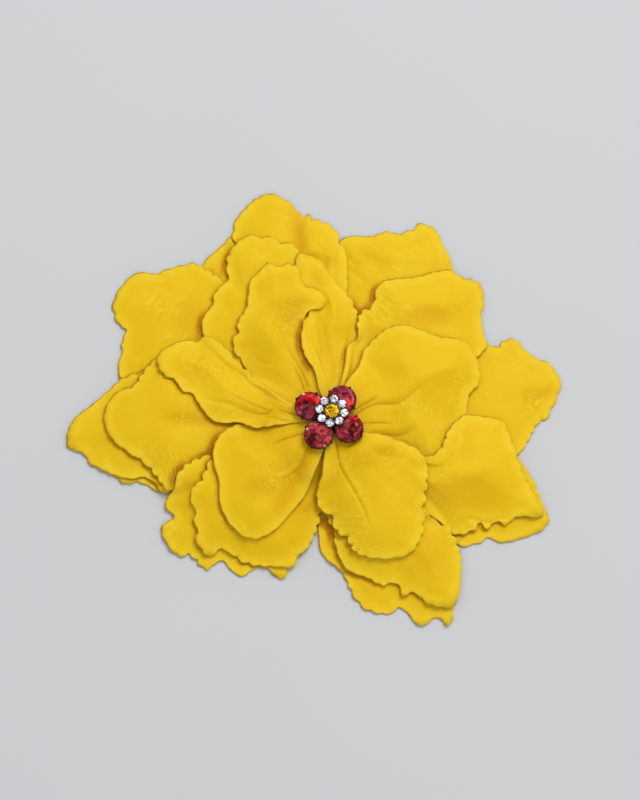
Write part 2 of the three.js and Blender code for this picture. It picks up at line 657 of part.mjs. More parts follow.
function layPetal(net, laid) {
  const cover = coverOf(net);
  addLimits(net, cover, laid);
  const neighbours = net.places.map(() => new Set());
  for (const corners of net.triangles) {
    for (const corner of corners) {
      corners.forEach((other) => other !== corner && neighbours[corner].add(other));
    }
  }
  const heights = [...net.heights];
  for (let pass = 0; pass < SETTLE_PASSES; pass++) {
    const lifts = heights.map((height, i) => height - net.heights[i]);
    for (let i = 0; i < heights.length; i++) {
      let sum = 0;
      for (const other of neighbours[i]) sum += lifts[other];
      const mean = sum / neighbours[i].size;
      heights[i] = net.heights[i] + ((lifts[i] + mean) / 2) * LIFT_KEPT;
    }
    push(cover, heights);
  }
  for (let pass = 0; pass < LAST_PASSES && push(cover, heights) > 1e-4; pass++);
  // A petal that floats is let down until it touches.
  const slack = Math.min(...cover.map((spot) => heightAt(spot, heights) - spot.lowest));
  net.heights = heights.map((height) => height - Math.max(slack, 0));

  const over = new Map();
  for (const spot of cover) {
    over.set(spot.cell, Math.max(over.get(spot.cell) ?? 0, heightAt(spot, net.heights)));
  }
  // One more cell all round keeps the next petal clear of this one's edge.
  const spread = new Map(over);
  for (const [cell, height] of over) {
    for (const beside of [-1, 1, -CELLS, CELLS].map((step) => cell + step)) {
      if (!over.has(beside)) spread.set(beside, Math.max(spread.get(beside) ?? 0, height));
    }
  }
  laid.push({ name: net.name, heights: spread });
}

// ---- Solids -------------------------------------------------------------------------------------

const solids = await Module();
solids.setup();

function solidOf(geometry) {
  const bare = geometry.clone();
  bare.deleteAttribute("normal");
  bare.deleteAttribute("uv");
  const merged = mergeVertices(bare, 1e-4);
  return new solids.Manifold(
    new solids.Mesh({
      numProp: 3,
      vertProperties: new Float32Array(merged.attributes.position.array),
      triVerts: new Uint32Array(merged.index.array),
    }),
  );
}

function geometryOf(solid) {
  const mesh = solid.getMesh();
  const geometry = new THREE.BufferGeometry();
  geometry.setAttribute("position", new THREE.BufferAttribute(mesh.vertProperties, 3));
  geometry.setIndex(new THREE.BufferAttribute(mesh.triVerts, 1));
  const flat = geometry.toNonIndexed();
  flat.computeVertexNormals();
  return flat;
}

// The blade between the net raised and lowered by half the thickness, both split alike.
function petalGeometry(net) {
  const count = net.places.length;
  const half = PETAL_THICKNESS / 2;
  const positions = [];
  for (const offset of [half, -half]) {
    net.places.forEach(({ x, y }, i) => positions.push(x, y, net.heights[i] + offset));
  }
  const index = [];
  for (const [a, b, c] of net.triangles) {
    index.push(a, b, c);
    index.push(a + count, c + count, b + count);
  }
  net.border.forEach((here, i) => {
    const next = net.border[(i + 1) % net.border.length];
    index.push(here + count, next + count, next);
    index.push(here + count, next, here);
  });
  const geometry = new THREE.BufferGeometry();
  geometry.setAttribute("position", new THREE.Float32BufferAttribute(positions, 3));
  geometry.setIndex(index);
  geometry.computeVertexNormals();
  return geometry;
}

// An upright round piece, given by the radius and height of each corner of its outline.
function turned(outline, sides) {
  const points = outline.map(([radius, height]) => new THREE.Vector2(radius, height));
  return new THREE.LatheGeometry(points, sides).rotateX(Math.PI / 2);
}

const disc = (radius, low, high, sides) =>
  turned([[0, low], [radius, low], [radius, high], [0, high]], sides);

// A cut stone with its girdle at height 0: a flat table, a ring of crown corners, the girdle and a
// flat-ended pavilion below it.
function cutStone(radius, sides) {
  const corners = [];
  const ring = (share, height, count, turn) => {
    for (let i = 0; i < count; i++) {
      const angle = (2 * Math.PI * (i + turn)) / count;
      corners.push(
        new THREE.Vector3(
          radius * share * Math.cos(angle),
          radius * share * Math.sin(angle),
          radius * height,
        ),
      );
    }
  };
  ring(TABLE.radius, TABLE.height, sides, 0);
  ring(CROWN.radius, CROWN.height, sides, 0.5);
  ring(1, GIRDLE_HEIGHT, 2 * sides, 0);
  ring(1, -GIRDLE_HEIGHT, 2 * sides, 0);
  ring(PAVILION.radius, -PAVILION.depth, sides, 0);
  return new ConvexGeometry(corners);
}

const onCircle = (radius, angle) =>
  new THREE.Vector2(radius * Math.cos(angle), radius * Math.sin(angle));

const joined = (geometries) => geometries.map(solidOf).reduce((whole, next) => whole.add(next));

// ---- Build --------------------------------------------------------------------------------------

const flower = new THREE.Group();

function addPiece(name, geometry, material, place = new THREE.Vector3()) {
  const mesh = new THREE.Mesh(geometry, material);
  mesh.name = name;
  mesh.position.copy(place);
  flower.add(mesh);
}

addPiece(
  "felt_backing",
  disc(FELT_RADIUS, 0, FELT_THICKNESS, SIDES.felt),
  feltCloth(),
);

const laid = [];
for (const petal of PETALS) {
  const net = petalNet(petal);
  layPetal(net, laid);
  addPiece(petal.name, petalGeometry(net), petalCloth());
}

// The jewel stands on the highest petal under its base plate.
let seat = 0;
for (const { heights } of laid) {
  for (const [cell, height] of heights) {
    const x = ((cell % CELLS) - CELLS / 2) * CELL;
    const y = (Math.floor(cell / CELLS) - CELLS / 2) * CELL;
    if (Math.hypot(x, y) < JEWEL_SEAT_RADIUS) seat = Math.max(seat, height);
  }
}
seat += PETAL_THICKNESS / 2 + LAYER_GAP;

const plateTop = seat + PLATE.thickness;
const redGirdle = plateTop + METAL_GAP + PAVILION.depth * RED_STONE_RADIUS;
const clusterFoot = redGirdle + TABLE.height * RED_STONE_RADIUS + METAL_GAP;
const clusterTop = clusterFoot + CLUSTER_THICKNESS;
const redPlaces = RED_STONE_PLACES.map(([x, y]) => new THREE.Vector2(x, y));
const clearPlaces = [];
for (let i = 0; i < CLEAR_STONE_COUNT; i++) {
  const angle = CLEAR_STONE_TURN + (2 * Math.PI * i) / CLEAR_STONE_COUNT;
  clearPlaces.push(onCircle(CLEAR_STONE_CIRCLE, angle).add(CLUSTER_MIDDLE));
}

addPiece("red_stone_mount", geometryOf(redMount()), darkMetal());
addPiece("cluster_mount", geometryOf(clusterMount()), darkMetal());
redPlaces.forEach(({ x, y }, i) => {
  const place = new THREE.Vector3(x, y, redGirdle);
  addPiece(`red_stone_${i + 1}`, cutStone(RED_STONE_RADIUS, SIDES.redStone), redGlass(), place);
});
clearPlaces.forEach(({ x, y }, i) => {
  const place = new THREE.Vector3(x, y, clusterTop);
  const stone = cutStone(CLEAR_STONE_RADIUS, SIDES.clearStone);
  addPiece(`clear_stone_${i + 1}`, stone, clearGlass(), place);
});
const yellowPlace = new THREE.Vector3(CLUSTER_MIDDLE.x, CLUSTER_MIDDLE.y, clusterTop);
const yellowStone = cutStone(YELLOW_STONE_RADIUS, SIDES.yellowStone);
addPiece("yellow_stone", yellowStone, yellowGlass(), yellowPlace);

// A base plate with a cup for each red stone, and four prongs that lean in over its girdle.
function redMount() {
  const pieces = [disc(PLATE.radius, seat, plateTop, SIDES.plate)];
  const inner = RED_STONE_RADIUS + METAL_GAP;
  const outer = inner + CUP_WALL;
  const foot = CUP_FOOT * RED_STONE_RADIUS;
  const cupOutline = [
    [0, seat],
    [foot + CUP_WALL, seat],
    [outer, redGirdle - CUP_RIM.outside],
    [outer, redGirdle],
    [inner, redGirdle],
    [inner, redGirdle - CUP_RIM.inside],
    [foot, plateTop],
    [0, plateTop],
  ];
  for (const middle of redPlaces) {
    const { x, y } = middle;
    const outward = middle.clone().sub(POST.middle).angle();
    pieces.push(turned(cupOutline, SIDES.cup).translate(x, y, 0));
    for (let k = 0; k < 4; k++) {
      pieces.push(prong(outward + (k * Math.PI) / 2).translate(x, y, 0));
    }
  }
  return joined(pieces);
}

// A prong stands in the wall of a red stone's cup and hooks in over the stone's edge. Each ring of
// its corners is given by the place of its middle, and by its height over the girdle and its radius
// as shares of the prong's radius.
function prong(angle) {
  const wall = onCircle(RED_STONE_RADIUS + METAL_GAP + PRONG_RADIUS, angle);
  const tip = onCircle(RED_STONE_RADIUS - 0.5 * PRONG_RADIUS, angle);
  const overGirdle = redGirdle + GIRDLE_HEIGHT * RED_STONE_RADIUS + METAL_GAP;
  const ring = (middle, height, radius) => {
    const corners = [];
    for (let i = 0; i < SIDES.prong; i++) {
      const turn = angle + ((i + 0.5) * 2 * Math.PI) / SIDES.prong;
      const corner = onCircle(radius * PRONG_RADIUS, turn).add(middle);
      corners.push(new THREE.Vector3(corner.x, corner.y, overGirdle + height * PRONG_RADIUS));
    }
    return corners;
  };
  const shank = (redGirdle - PRONG_SHANK - overGirdle) / PRONG_RADIUS;
  const stem = [...ring(wall, shank, 1), ...ring(wall, 1, 1)];
  const hook = [
    ...ring(wall, 0.5, 0.9),
    ...ring(wall, 1.6, 0.7),
    ...ring(tip, 1.1, 0.6),
    ...ring(tip, 1.7, 0.5),
  ];
  return geometryOf(joined([new ConvexGeometry(stem), new ConvexGeometry(hook)]));
}

// A scalloped plate on a post, with a pocket for each stone and pins between the pockets.
function clusterMount() {
  const place = (geometry, { x, y }) => geometry.translate(x, y, 0);
  const pocket = (radius, depth, sides) =>
    disc(radius, clusterTop - depth, clusterTop + OPEN_TOP, sides);
  const post = disc(POST.radius, plateTop + METAL_GAP, clusterFoot + POST.inPlate, SIDES.post);
  const plate = disc(CLEAR_STONE_CIRCLE, clusterFoot, clusterTop, SIDES.cluster);
  const yellowRadius = YELLOW_STONE_RADIUS + METAL_GAP;
  const yellowPocket = pocket(yellowRadius, POCKET_DEPTH.yellow, SIDES.yellowPocket);
  const pieces = [place(post, POST.middle), place(plate, CLUSTER_MIDDLE)];
  const pockets = [place(yellowPocket, CLUSTER_MIDDLE)];
  for (const middle of clearPlaces) {
    const scallopRadius = CLEAR_STONE_RADIUS + CLUSTER_WALL;
    const clearRadius = CLEAR_STONE_RADIUS + CLUSTER_GAP;
    const scallop = disc(scallopRadius, clusterFoot, clusterTop, SIDES.scallop);
    pieces.push(place(scallop, middle));
    pockets.push(place(pocket(clearRadius, POCKET_DEPTH.clear, SIDES.clearPocket), middle));
  }
  const pinFoot = clusterTop - PIN.below;
  const pinTop = clusterTop + PIN.above;
  for (let i = 0; i < CLEAR_STONE_COUNT; i++) {
    const angle = CLEAR_STONE_TURN + (2 * Math.PI * (i + 0.5)) / CLEAR_STONE_COUNT;
    for (const { circle, radius } of PINS) {
      const outline = [[0, pinFoot], [radius, pinFoot], [PIN.taper * radius, pinTop], [0, pinTop]];
      pieces.push(place(turned(outline, SIDES.pin), onCircle(circle, angle).add(CLUSTER_MIDDLE)));
    }
  }
  return joined(pieces).subtract(joined(pockets));
}

export default flower;
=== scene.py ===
"""A yellow fabric flower with a jewelled middle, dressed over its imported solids.

Every petal is a fine waved blade that follows the net of its solid, is crimped along its rim,
creased where the cloth is gathered, and laid over the petals below it. The jewel's settings and
cut stones are made anew at the places of their solids. Lengths are in mm until a mesh is placed.
"""

import math

import bmesh
import bpy
import numpy as np
from mathutils import Euler, Matrix, Vector
from mathutils.bvhtree import BVHTree


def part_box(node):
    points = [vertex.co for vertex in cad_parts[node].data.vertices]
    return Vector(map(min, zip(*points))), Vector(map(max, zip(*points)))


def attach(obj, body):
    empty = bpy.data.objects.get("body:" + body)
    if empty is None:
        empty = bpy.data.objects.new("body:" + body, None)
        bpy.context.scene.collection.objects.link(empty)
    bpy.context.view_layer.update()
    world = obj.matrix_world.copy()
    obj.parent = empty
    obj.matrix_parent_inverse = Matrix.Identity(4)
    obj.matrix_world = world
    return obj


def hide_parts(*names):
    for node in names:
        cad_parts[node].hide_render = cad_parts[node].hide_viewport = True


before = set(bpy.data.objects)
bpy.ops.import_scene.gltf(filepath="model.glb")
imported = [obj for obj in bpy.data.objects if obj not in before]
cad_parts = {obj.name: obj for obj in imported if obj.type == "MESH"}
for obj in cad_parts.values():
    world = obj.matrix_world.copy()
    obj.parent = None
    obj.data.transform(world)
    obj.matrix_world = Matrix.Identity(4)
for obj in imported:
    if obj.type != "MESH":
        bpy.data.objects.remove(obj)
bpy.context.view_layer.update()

scene = bpy.context.scene
MM = 0.001

# ---- The petals, in the order in which they are laid ----
# rim: the outline in plan, anticlockwise from one end of the root round the tip to the other, as in
# the part's source. wave: how far the edge of the solid waves up and down. rise: the share by which
# the cloth rises to the jewel's seat beside it. frill: how deep its edge is notched.
# weave: the neighbour that it lies over up to one y, and under from another.
# creases: (depth, width, points), a valley, or with a negative depth a ridge.
# steps: (height, width, points), a fold whose left side stands higher than its right side.
# swells: (x, y, radius along x, radius along y, height), a broad rise or hollow.
# tucks: (x, y, radius, shift along x, shift along y), an edge that reaches in under its neighbour.
# presses: (x, y, radius), a spot that is pressed down onto the petals below.
# flush: (x, y, radius), a spot where an edge over this petal fits so close that it casts no shade.
# overhang: (x, y, radius), a spot where the edge over this petal stands high and its shade is wide.

PETALS = dict(
    petal_outer_north_back=dict(
        wave=0.4, overhang=[(-29.5, 47.5, 4.5)],
        rim=[(-4.4, 17.3), (-12.4, 32.6), (-21.5, 49.5), (-26.8, 54.1), (-30, 51.3), (-34.7, 46.6),
            (-35.8, 40.9), (-30.7, 28.4), (-18.6, 17.8), (-11, 15.1)]),
    petal_outer_north_east=dict(
        wave=0.6, overhang=[(8.5, 31, 5), (12, 37, 3.5)],
        rim=[(8.7, 15), (19.1, 22.5), (32.3, 35.5), (33.5, 45.3), (30.8, 52.2), (28.6, 56.5),
            (24.8, 58), (22.6, 56.3), (18.7, 55.1), (15.4, 55.6), (11.8, 54.3), (5.5, 54.2),
            (2.7, 52.8), (0.2, 46.2), (0, 32.7), (1.9, 17.9)],
        creases=[(0.35, 1.2, [(5.1, 48.1), (8.5, 45)]), (0.3, 1, [(5.5, 44.5), (10.2, 40.3)]),
            (0.4, 2, [(9, 49.5), (13.5, 46.5), (19, 44.5)])],
        swells=[(21, 49.5, 8, 3.5, 0.9), (12, 50, 5, 3, 0.5)]),
    petal_outer_north=dict(
        wave=0.6, frill=1.3, overhang=[(-27, 53.5, 3)],
        rim=[(1, 17.6), (4.3, 26.5), (4.6, 40), (4.1, 49.9), (2.3, 52.3), (1.9, 55.6), (-2.5, 58.9),
            (-4.6, 59.2), (-5.4, 60.5), (-7.5, 60.4), (-10.8, 63.6), (-16.2, 66.5), (-20.7, 64.9),
            (-23.5, 62.2), (-26.1, 58.7), (-26.9, 54.3), (-24.7, 43.7), (-17.8, 27.9),
            (-7.1, 15.4)],
        creases=[(1, 2.2, [(-8.8, 61), (-8.4, 54), (-8, 46)]),
            (0.3, 1, [(-3, 52), (-1.5, 47), (-1, 41)]), (0.3, 1, [(1.5, 50), (1, 45), (1, 39)])],
        swells=[(-2, 53.5, 4, 4.5, 1.5), (-4.5, 46.8, 6, 2.4, -0.8), (-17, 57, 6, 6, 0.6)]),
    petal_outer_north_west=dict(
        wave=0.6, overhang=[(-35, 28, 4)],
        rim=[(-8.8, 15.7), (-17, 25.2), (-25.8, 37.3), (-32.4, 43.4), (-37.1, 46.5), (-39.1, 46.3),
            (-45.7, 44.4), (-47.6, 43.4), (-52.8, 43.7), (-56.9, 40.4), (-59.7, 34.6),
            (-58.2, 29.3), (-56.2, 27.6), (-57.2, 23.1), (-56.7, 21.9), (-57.8, 17.7),
            (-57.1, 13.6), (-51.9, 10.4), (-35.5, 6.8), (-13.7, 8.2)],
        creases=[(0.15, 1, [(-52, 22.4), (-49.3, 25.2), (-46.8, 27.1)]),
            (0.12, 1, [(-50.6, 20.3), (-47.4, 23.3)])],
        swells=[(-55.5, 35, 3, 5, 0.8), (-38, 30, 5, 7, -0.5), (-50, 21, 5, 5, 0.5)]),
    petal_outer_west_back=dict(
        wave=0.4,
        rim=[(-13.7, 5.5), (-30, 3.7), (-51.8, -1), (-61.5, -8.1), (-59.3, -12.9), (-55.7, -16),
            (-52.7, -15.3), (-49.7, -16.3), (-45.1, -18.5), (-38, -15.9), (-24.5, -8.5),
            (-13.1, -2.4)]),
    petal_outer_west=dict(
        wave=0.6,
        rim=[(-12.6, 8.5), (-27.3, 13.7), (-46.4, 16.1), (-57, 13.3), (-60.1, 10.4), (-66, 5.2),
            (-70, 1.8), (-71.7, -3.5), (-70.7, -6.5), (-67.8, -6.9), (-65.5, -10.2), (-59.2, -13.3),
            (-54.1, -14.6), (-51.3, -14), (-48.1, -15.3), (-45, -18.5), (-35.3, -13.7),
            (-14.2, 0.7)],
        swells=[(-64, 0, 5, 4, 0.5)]),
    petal_outer_east=dict(
        wave=0.6,
        rim=[(14.6, -2.5), (24.4, -6), (38, -10.4), (50.7, -7.7), (53.5, -4.4), (56.6, 1.1),
            (58.8, 2.2), (61.9, 8.4), (62.8, 12.9), (59.6, 18.2), (57.6, 18.6), (53.6, 21.4),
            (50.6, 24.7), (47.6, 24.4), (45.4, 22.6), (42.4, 24.1), (36.1, 26.8), (21.8, 16),
            (13.6, 7.7)],
        creases=[(0.6, 2.2, [(60, 9.5), (55, 8.3), (51, 7.5)])],
        swells=[(53, 13, 7, 5, 0.6), (52, 2, 5, 4, 0.5)]),
    petal_outer_south_east=dict(
        wave=0.6,
        rim=[(9.7, -9.8), (18.9, -18.2), (29.7, -29.9), (35.3, -33.1), (40.5, -32.2), (42.8, -30.7),
            (45.9, -32.1), (52.1, -30.8), (57.6, -28.5), (59.2, -25.9), (58, -22.4), (53.7, -12.7),
            (46.1, -4.7), (32.5, -0.5), (14.1, -1.6)]),
    petal_outer_south=dict(
        wave=0.8,
        rim=[(-0.6, -12.6), (-3.3, -17.6), (-3.1, -29.5), (-2, -35.6), (3.2, -40.6), (6.4, -47.5),
            (9.6, -50.8), (16.1, -51.9), (18.5, -50.1), (21.2, -52.1), (24.1, -55.2), (29, -52.9),
            (31.9, -55.2), (33.2, -50.4), (34.5, -40.4), (29.7, -26.9), (17.8, -14.1), (6.4, -10)],
        swells=[(13, -49, 5, 3, 0.5)], overhang=[(0.5, -28, 5)],
        flush=[(28, -51, 6), (15, -46.5, 4)]),
    petal_middle_west=dict(
        wave=0.8,
        rim=[(-9, 6), (-24.6, 12.3), (-38.2, 18.1), (-46.9, 18.6), (-51.5, 14.4), (-53.7, 11),
            (-57.7, 9.6), (-60.7, 5.7), (-61.4, 1), (-59.2, -4.1), (-54.6, -7.9), (-50, -11.2),
            (-46.1, -16), (-43.9, -18.3), (-37.9, -15.9), (-31.2, -8.4), (-21.8, -3.2),
            (-9.6, -0.1)],
        creases=[(0.7, 2, [(-27.5, 0.2), (-33.9, 0.6), (-40.1, 0.9), (-48.7, 0.6)])],
        swells=[(-49, 9, 9, 5, 0.8), (-44, -6, 8, 4, 0.6)],
        overhang=[(-32.5, -7, 5.5), (-42.5, -14, 4.5)]),
    petal_outer_south_west=dict(
        wave=0.8, frill=1.2,
        rim=[(-12.6, -4), (-21.8, -5.2), (-32, -8.4), (-39, -11.3), (-42, -15.2), (-42.2, -17.8),
            (-44.4, -20.4), (-44.4, -23), (-42.2, -25.1), (-45.5, -27.9), (-45.4, -30.3),
            (-44.1, -33), (-41.4, -36), (-37.9, -36), (-33.5, -39.8), (-29.8, -37.2), (-26.5, -40),
            (-24.1, -41.5), (-20.1, -39.2), (-16.8, -39.6), (-13.6, -42.4), (-10.6, -39.2),
            (-7.6, -33.7), (-4.9, -21), (-6, -10.9)],
        flush=[(-37.5, -22, 4.5), (-12, -39.5, 6), (-29, -36, 4)]),
    petal_middle_south_west=dict(
        wave=0.8, frill=1.4, rise=0.75,
        rim=[(-7.7, -1.9), (-21.7, -4.4), (-32, -9.6), (-33.8, -12.5), (-35.2, -16), (-37.1, -17.7),
            (-37.9, -21), (-36.2, -24.9), (-37.1, -26.9), (-35.7, -29.4), (-36.5, -32.1),
            (-35.1, -34.1), (-33.1, -36.5), (-30.3, -34.9), (-27.9, -35), (-25.7, -37),
            (-21.7, -38.6), (-16.3, -39), (-10.1, -39), (-8.7, -35.7), (-7.1, -35), (-4.9, -31.5),
            (-2.8, -25.8), (-2.2, -15.9), (-2.2, -6.8)],
        creases=[(0.6, 0.9, [(-10.4, -33.3), (-10, -35.5), (-9.3, -37.6)]),
            (0.4, 1.2, [(-3.6, -21), (-6, -23.5), (-9.5, -24.8)]),
            (0.5, 1.6, [(-1.5, -10), (-3, -15), (-6.5, -19.5)])],
        swells=[(-14, -33, 8, 4, 0.5), (-4.5, -15, 3.5, 6, 1.8)], tucks=[(-2.5, -14, 5, 1.6, 0)],
        flush=[(-20.5, -32.5, 7), (-12, -28.5, 5)]),
    petal_middle_north_west=dict(
        wave=0.8,
        rim=[(-2.8, 12.2), (-5, 26.1), (-6.1, 38.6), (-8.7, 49.2), (-11, 51.6), (-13.8, 51.6),
            (-16.5, 53.5), (-18.7, 53), (-21.7, 54.2), (-25, 52.5), (-27.8, 49.2), (-28.6, 45.7),
            (-28.3, 41.5), (-31.8, 37.1), (-32, 34.1), (-34.2, 31), (-35, 27.7), (-33.8, 23.8),
            (-25.9, 15.7), (-8.8, 7.7)],
        creases=[(0.12, 1, [(-28.5, 36.5), (-25.5, 33.5)]), (0.12, 1, [(-29, 34), (-26, 31.5)])],
        swells=[(-24, 47, 4, 5, 0.5), (-28, 32, 4, 4, 0.5), (-12, 11, 6, 6, 0.8)],
        tucks=[(-13, 9, 6, -1, -3.2)],
        flush=[(-23.5, 18.5, 4), (-18, 13.5, 5), (-13, 9, 5)]),
    petal_top_north_west=dict(
        wave=0.7, rise=0.75,
        rim=[(-2.2, 9.5), (-3.9, 14.8), (-6, 18.9), (-7.7, 22.1), (-8.6, 24.3), (-8.1, 27.8),
            (-6.9, 30.8), (-5.6, 32.2), (-2.5, 32.7), (-1.3, 35.3), (-2.8, 37.4), (-7.8, 39.7),
            (-8.2, 43.1), (-11, 45.1), (-14.8, 44.2), (-17, 45.2), (-19.7, 42.4), (-21.6, 40.7),
            (-22.4, 35.5), (-22.8, 32.2), (-25.4, 27.8), (-25.1, 25.7), (-26.7, 23), (-25.6, 20),
            (-22.6, 18.7), (-18.5, 16), (-12.6, 11.9), (-6.6, 6.7)],
        creases=[(0.5, 0.9, [(-6, 9.6), (-7.9, 14.5), (-10.6, 19.2), (-13.4, 24.6)]),
            (0.4, 0.7, [(-7, 8.6), (-8.5, 12.8), (-10.6, 17.3)]),
            (0.25, 0.8, [(-16.8, 17), (-19.4, 17.6), (-21.2, 20.2)])],
        swells=[(-17, 25, 4, 7, 0.7), (-10.9, 32, 5.5, 5.5, -0.6), (-13.5, 39.5, 6, 4, -0.35)],
        tucks=[(-13, 11, 5.5, -2.2, -4), (-8, 6, 5, -2, -3), (-20, 15, 5, -2.7, -3.6),
            (-6.5, 21, 6, 2.2, 0)],
        overhang=[(-8.3, 23, 6), (-8.3, 28, 4), (-6.5, 16, 3)],
        presses=[(-24, 18, 5), (-18, 15.5, 4.5), (-13, 10.5, 5), (-9.5, 6.5, 4)]),
    petal_middle_north=dict(
        wave=0.5, rise=0.75,
        weave=dict(neighbour="petal_top_north_west", over_up_to=29.5, under_from=32.5),
        rim=[(3.5, 9.8), (4.8, 16.4), (4.8, 21.6), (6.5, 26.9), (5.7, 35), (2.4, 39.3),
            (-0.9, 43.9), (-2.5, 46.7), (-5.3, 48), (-8.3, 48.3), (-8.4, 44.5), (-7.4, 39.8),
            (-5.8, 36.1), (-4.8, 33.4), (-5.9, 30.9), (-7.3, 27.9), (-7.8, 23.5), (-7.5, 20.9),
            (-6.3, 17.6), (-4.1, 14.4), (-2.5, 11), (-0.6, 8.6)],
        creases=[(0.5, 1, [(1.7, 11), (0.2, 18), (-1.4, 25), (-2.5, 32.5)])],
        swells=[(-7, 23.5, 2.2, 6, 1.7), (-4.6, 44.6, 2, 2.2, 0.8), (-2.6, 40.6, 2.2, 2.2, -0.5),
            (1.2, 38, 1.8, 4, 0.5)],
        tucks=[(-1.5, 9.5, 4, -1.8, 0), (-7.5, 42, 5, -1.9, -0.2), (7, 27, 6, 1.8, 0)]),
    petal_middle_north_east=dict(
        wave=0.8,
        rim=[(5.9, 6), (21.7, 10.9), (35.9, 16.2), (42.9, 22.8), (42, 25.3), (41.3, 31.7),
            (42, 34.9), (41.7, 39.5), (39.7, 41.5), (36.4, 42.3), (32.9, 44.2), (29, 43.6),
            (24.1, 42), (15.8, 40.9), (13.1, 39.2), (11.4, 33.5), (8.4, 31.9), (7.3, 27.8),
            (7.6, 24.6), (4.8, 21.6), (4.3, 16), (3.2, 10)],
        swells=[(27, 30.5, 7, 3.5, -0.7), (16, 37, 5, 4, 0.6), (35, 38, 5, 4, 0.5)]),
    petal_top_east=dict(
        wave=0.7, frill=0.7, rise=0.75,
        rim=[(5.9, -1.9), (11.3, -6.1), (18.9, -8.8), (26.4, -9.1), (29.9, -6.3), (32.4, -0.3),
            (36.3, 3.1), (37.7, 8.5), (40.7, 12.1), (40.1, 18), (36.4, 23.2), (29.1, 24.3),
            (23.1, 26.5), (19, 27.2), (14.6, 25.7), (9.2, 20.4), (8.1, 16.1), (5.4, 12.2),
            (3.2, 9.2)],
        creases=[(0.5, 0.9, [(5.9, 1.7), (7.8, 3.3), (10.7, 5.1), (14, 7.3)]),
            (0.5, 0.9, [(5.7, 0.6), (12.1, 4.3), (18.3, 4.9), (23.2, 8.5), (28.6, 11.8)]),
            (0.35, 0.8, [(8.4, -1.3), (14.2, -0.8), (18.3, -0.6)]),
            (0.5, 0.9, [(8.8, -4.7), (15.1, -3.9), (19.6, -3.4), (22.4, -2), (24.5, -0.2)])],
        swells=[(25, 18, 9, 5, 0.8), (28, 8.5, 7, 4, -0.25), (31, 3, 4, 4, 0.5)],
        tucks=[(31.5, -3.5, 6, 2.6, -1.8), (27.5, -8.5, 5, 1.6, -2.2)],
        flush=[(31, -5.5, 5)]),
    petal_middle_south_east=dict(
        wave=0.8,
        rim=[(4.8, -4.2), (16.1, -16.1), (25.5, -24.5), (29.1, -26.5), (33.1, -30.2), (38.8, -29.3),
            (40.2, -27.3), (42.4, -28.7), (45.1, -26.5), (47.2, -27.6), (50.5, -25.3),
            (57.4, -25.1), (56.7, -22), (52.5, -13.5), (50.6, -8.2), (48, -1.2), (46.9, 0.9),
            (40, 2.4), (36.2, 2.1), (32.1, -2.1), (29.6, -7.6), (25.6, -9.7), (16.1, -6.6),
            (7, -1.1)],
        creases=[(-0.5, 2.5, [(26, -13.5), (38, -14), (52, -13.5)]),
            (0.5, 0.7, [(38, -26.2), (43.2, -27.1), (45.9, -26), (49.9, -26)])],
        swells=[(38, -19, 11, 4.5, -0.5), (53.4, -19.5, 3, 3, 0.7), (40, -6, 8, 5, 0.6)],
        flush=[(26, -21, 7), (26, -13, 4)]),
    petal_middle_south=dict(
        wave=0.8, frill=1.3,
        rim=[(-0.6, -7.4), (-2.8, -16.6), (-1.4, -25.3), (1, -29.4), (1.1, -32.4), (4.2, -39.7),
            (10.1, -42.4), (13.9, -44.5), (17.7, -43.9), (19.3, -47.1), (23.1, -46.8),
            (25.5, -49.2), (28.9, -50.3), (32.4, -50.2), (34.3, -47.7), (35.2, -40.3),
            (34.9, -34.4), (32, -28.5), (28.7, -27.2), (24.2, -22.6), (16.1, -14.4), (5.3, -6.2)],
        creases=[(0.5, 0.8, [(26, -23.5), (28.5, -26), (32, -29)])], swells=[(26, -36, 7, 6, -0.4)],
        flush=[(12, -37, 6), (20, -36, 6), (25, -30, 6)]),
    petal_top_south_west=dict(
        wave=0.6, frill=0.45, rise=0.75,
        rim=[(-7.1, -0.2), (-16.3, -0.2), (-24.4, -0.4), (-29.3, -2.8), (-31.5, -7.1),
            (-31.4, -11.6), (-30, -16.4), (-29.7, -22.7), (-27.6, -27.4), (-24.1, -31.1),
            (-20.3, -32.1), (-15.2, -29.9), (-10.9, -25.1), (-6.8, -19.6), (-3.9, -12),
            (-2.2, -6.9)],
        creases=[(0.5, 0.8, [(-7, -4.1), (-10.9, -5.2), (-14.9, -6.4), (-17.1, -6.8)])],
        steps=[
            (2.2, 2.2, [(-5.6, -7), (-7.4, -11.8), (-9.1, -13.9), (-12.5, -15.7), (-17, -16.4)])],
        swells=[(-19, -19, 5, 3, -0.5), (-11.5, -23, 4, 5, -0.6), (-22, -30, 4, 3, 0.5),
            (-8.5, -8.5, 3.8, 3.8, 2.6)],
        tucks=[(-3.2, -10, 5, 1, 0)]),
    petal_top_west=dict(
        wave=0.8, frill=0.8, rise=0.75,
        rim=[(-6, 4.8), (-18, 10.4), (-25.3, 17.2), (-30.5, 22.6), (-34.1, 24.4), (-36.5, 23.1),
            (-38.7, 23.7), (-45, 21.3), (-47.2, 18.2), (-45.7, 13.8), (-41.9, 11.5), (-40.5, 8.8),
            (-37.8, 8.2), (-34.7, 3.7), (-31.2, 0.4), (-24.4, 0), (-21.2, -1.5), (-15, -1.6),
            (-7.7, -0.5)],
        creases=[(0.4, 0.8, [(-17.6, 3.4), (-24.7, 6.5), (-29.5, 9)]), (0.6, 0.8, [(-15.8, 3.2),
            (-17.6, 2), (-22.8, 3.2), (-28.3, 5.1), (-33.1, 6.1), (-36.7, 9)]),
            (0.3, 1.2, [(-35.8, 7.6), (-40.4, 10.4)]),
            (0.4, 0.7, [(-8.2, -1.6), (-13.6, -0.3), (-18.5, 1.7)]),
            (0.4, 0.7, [(-7.4, 0.3), (-10.9, 1.6), (-15.8, 3.4)]),
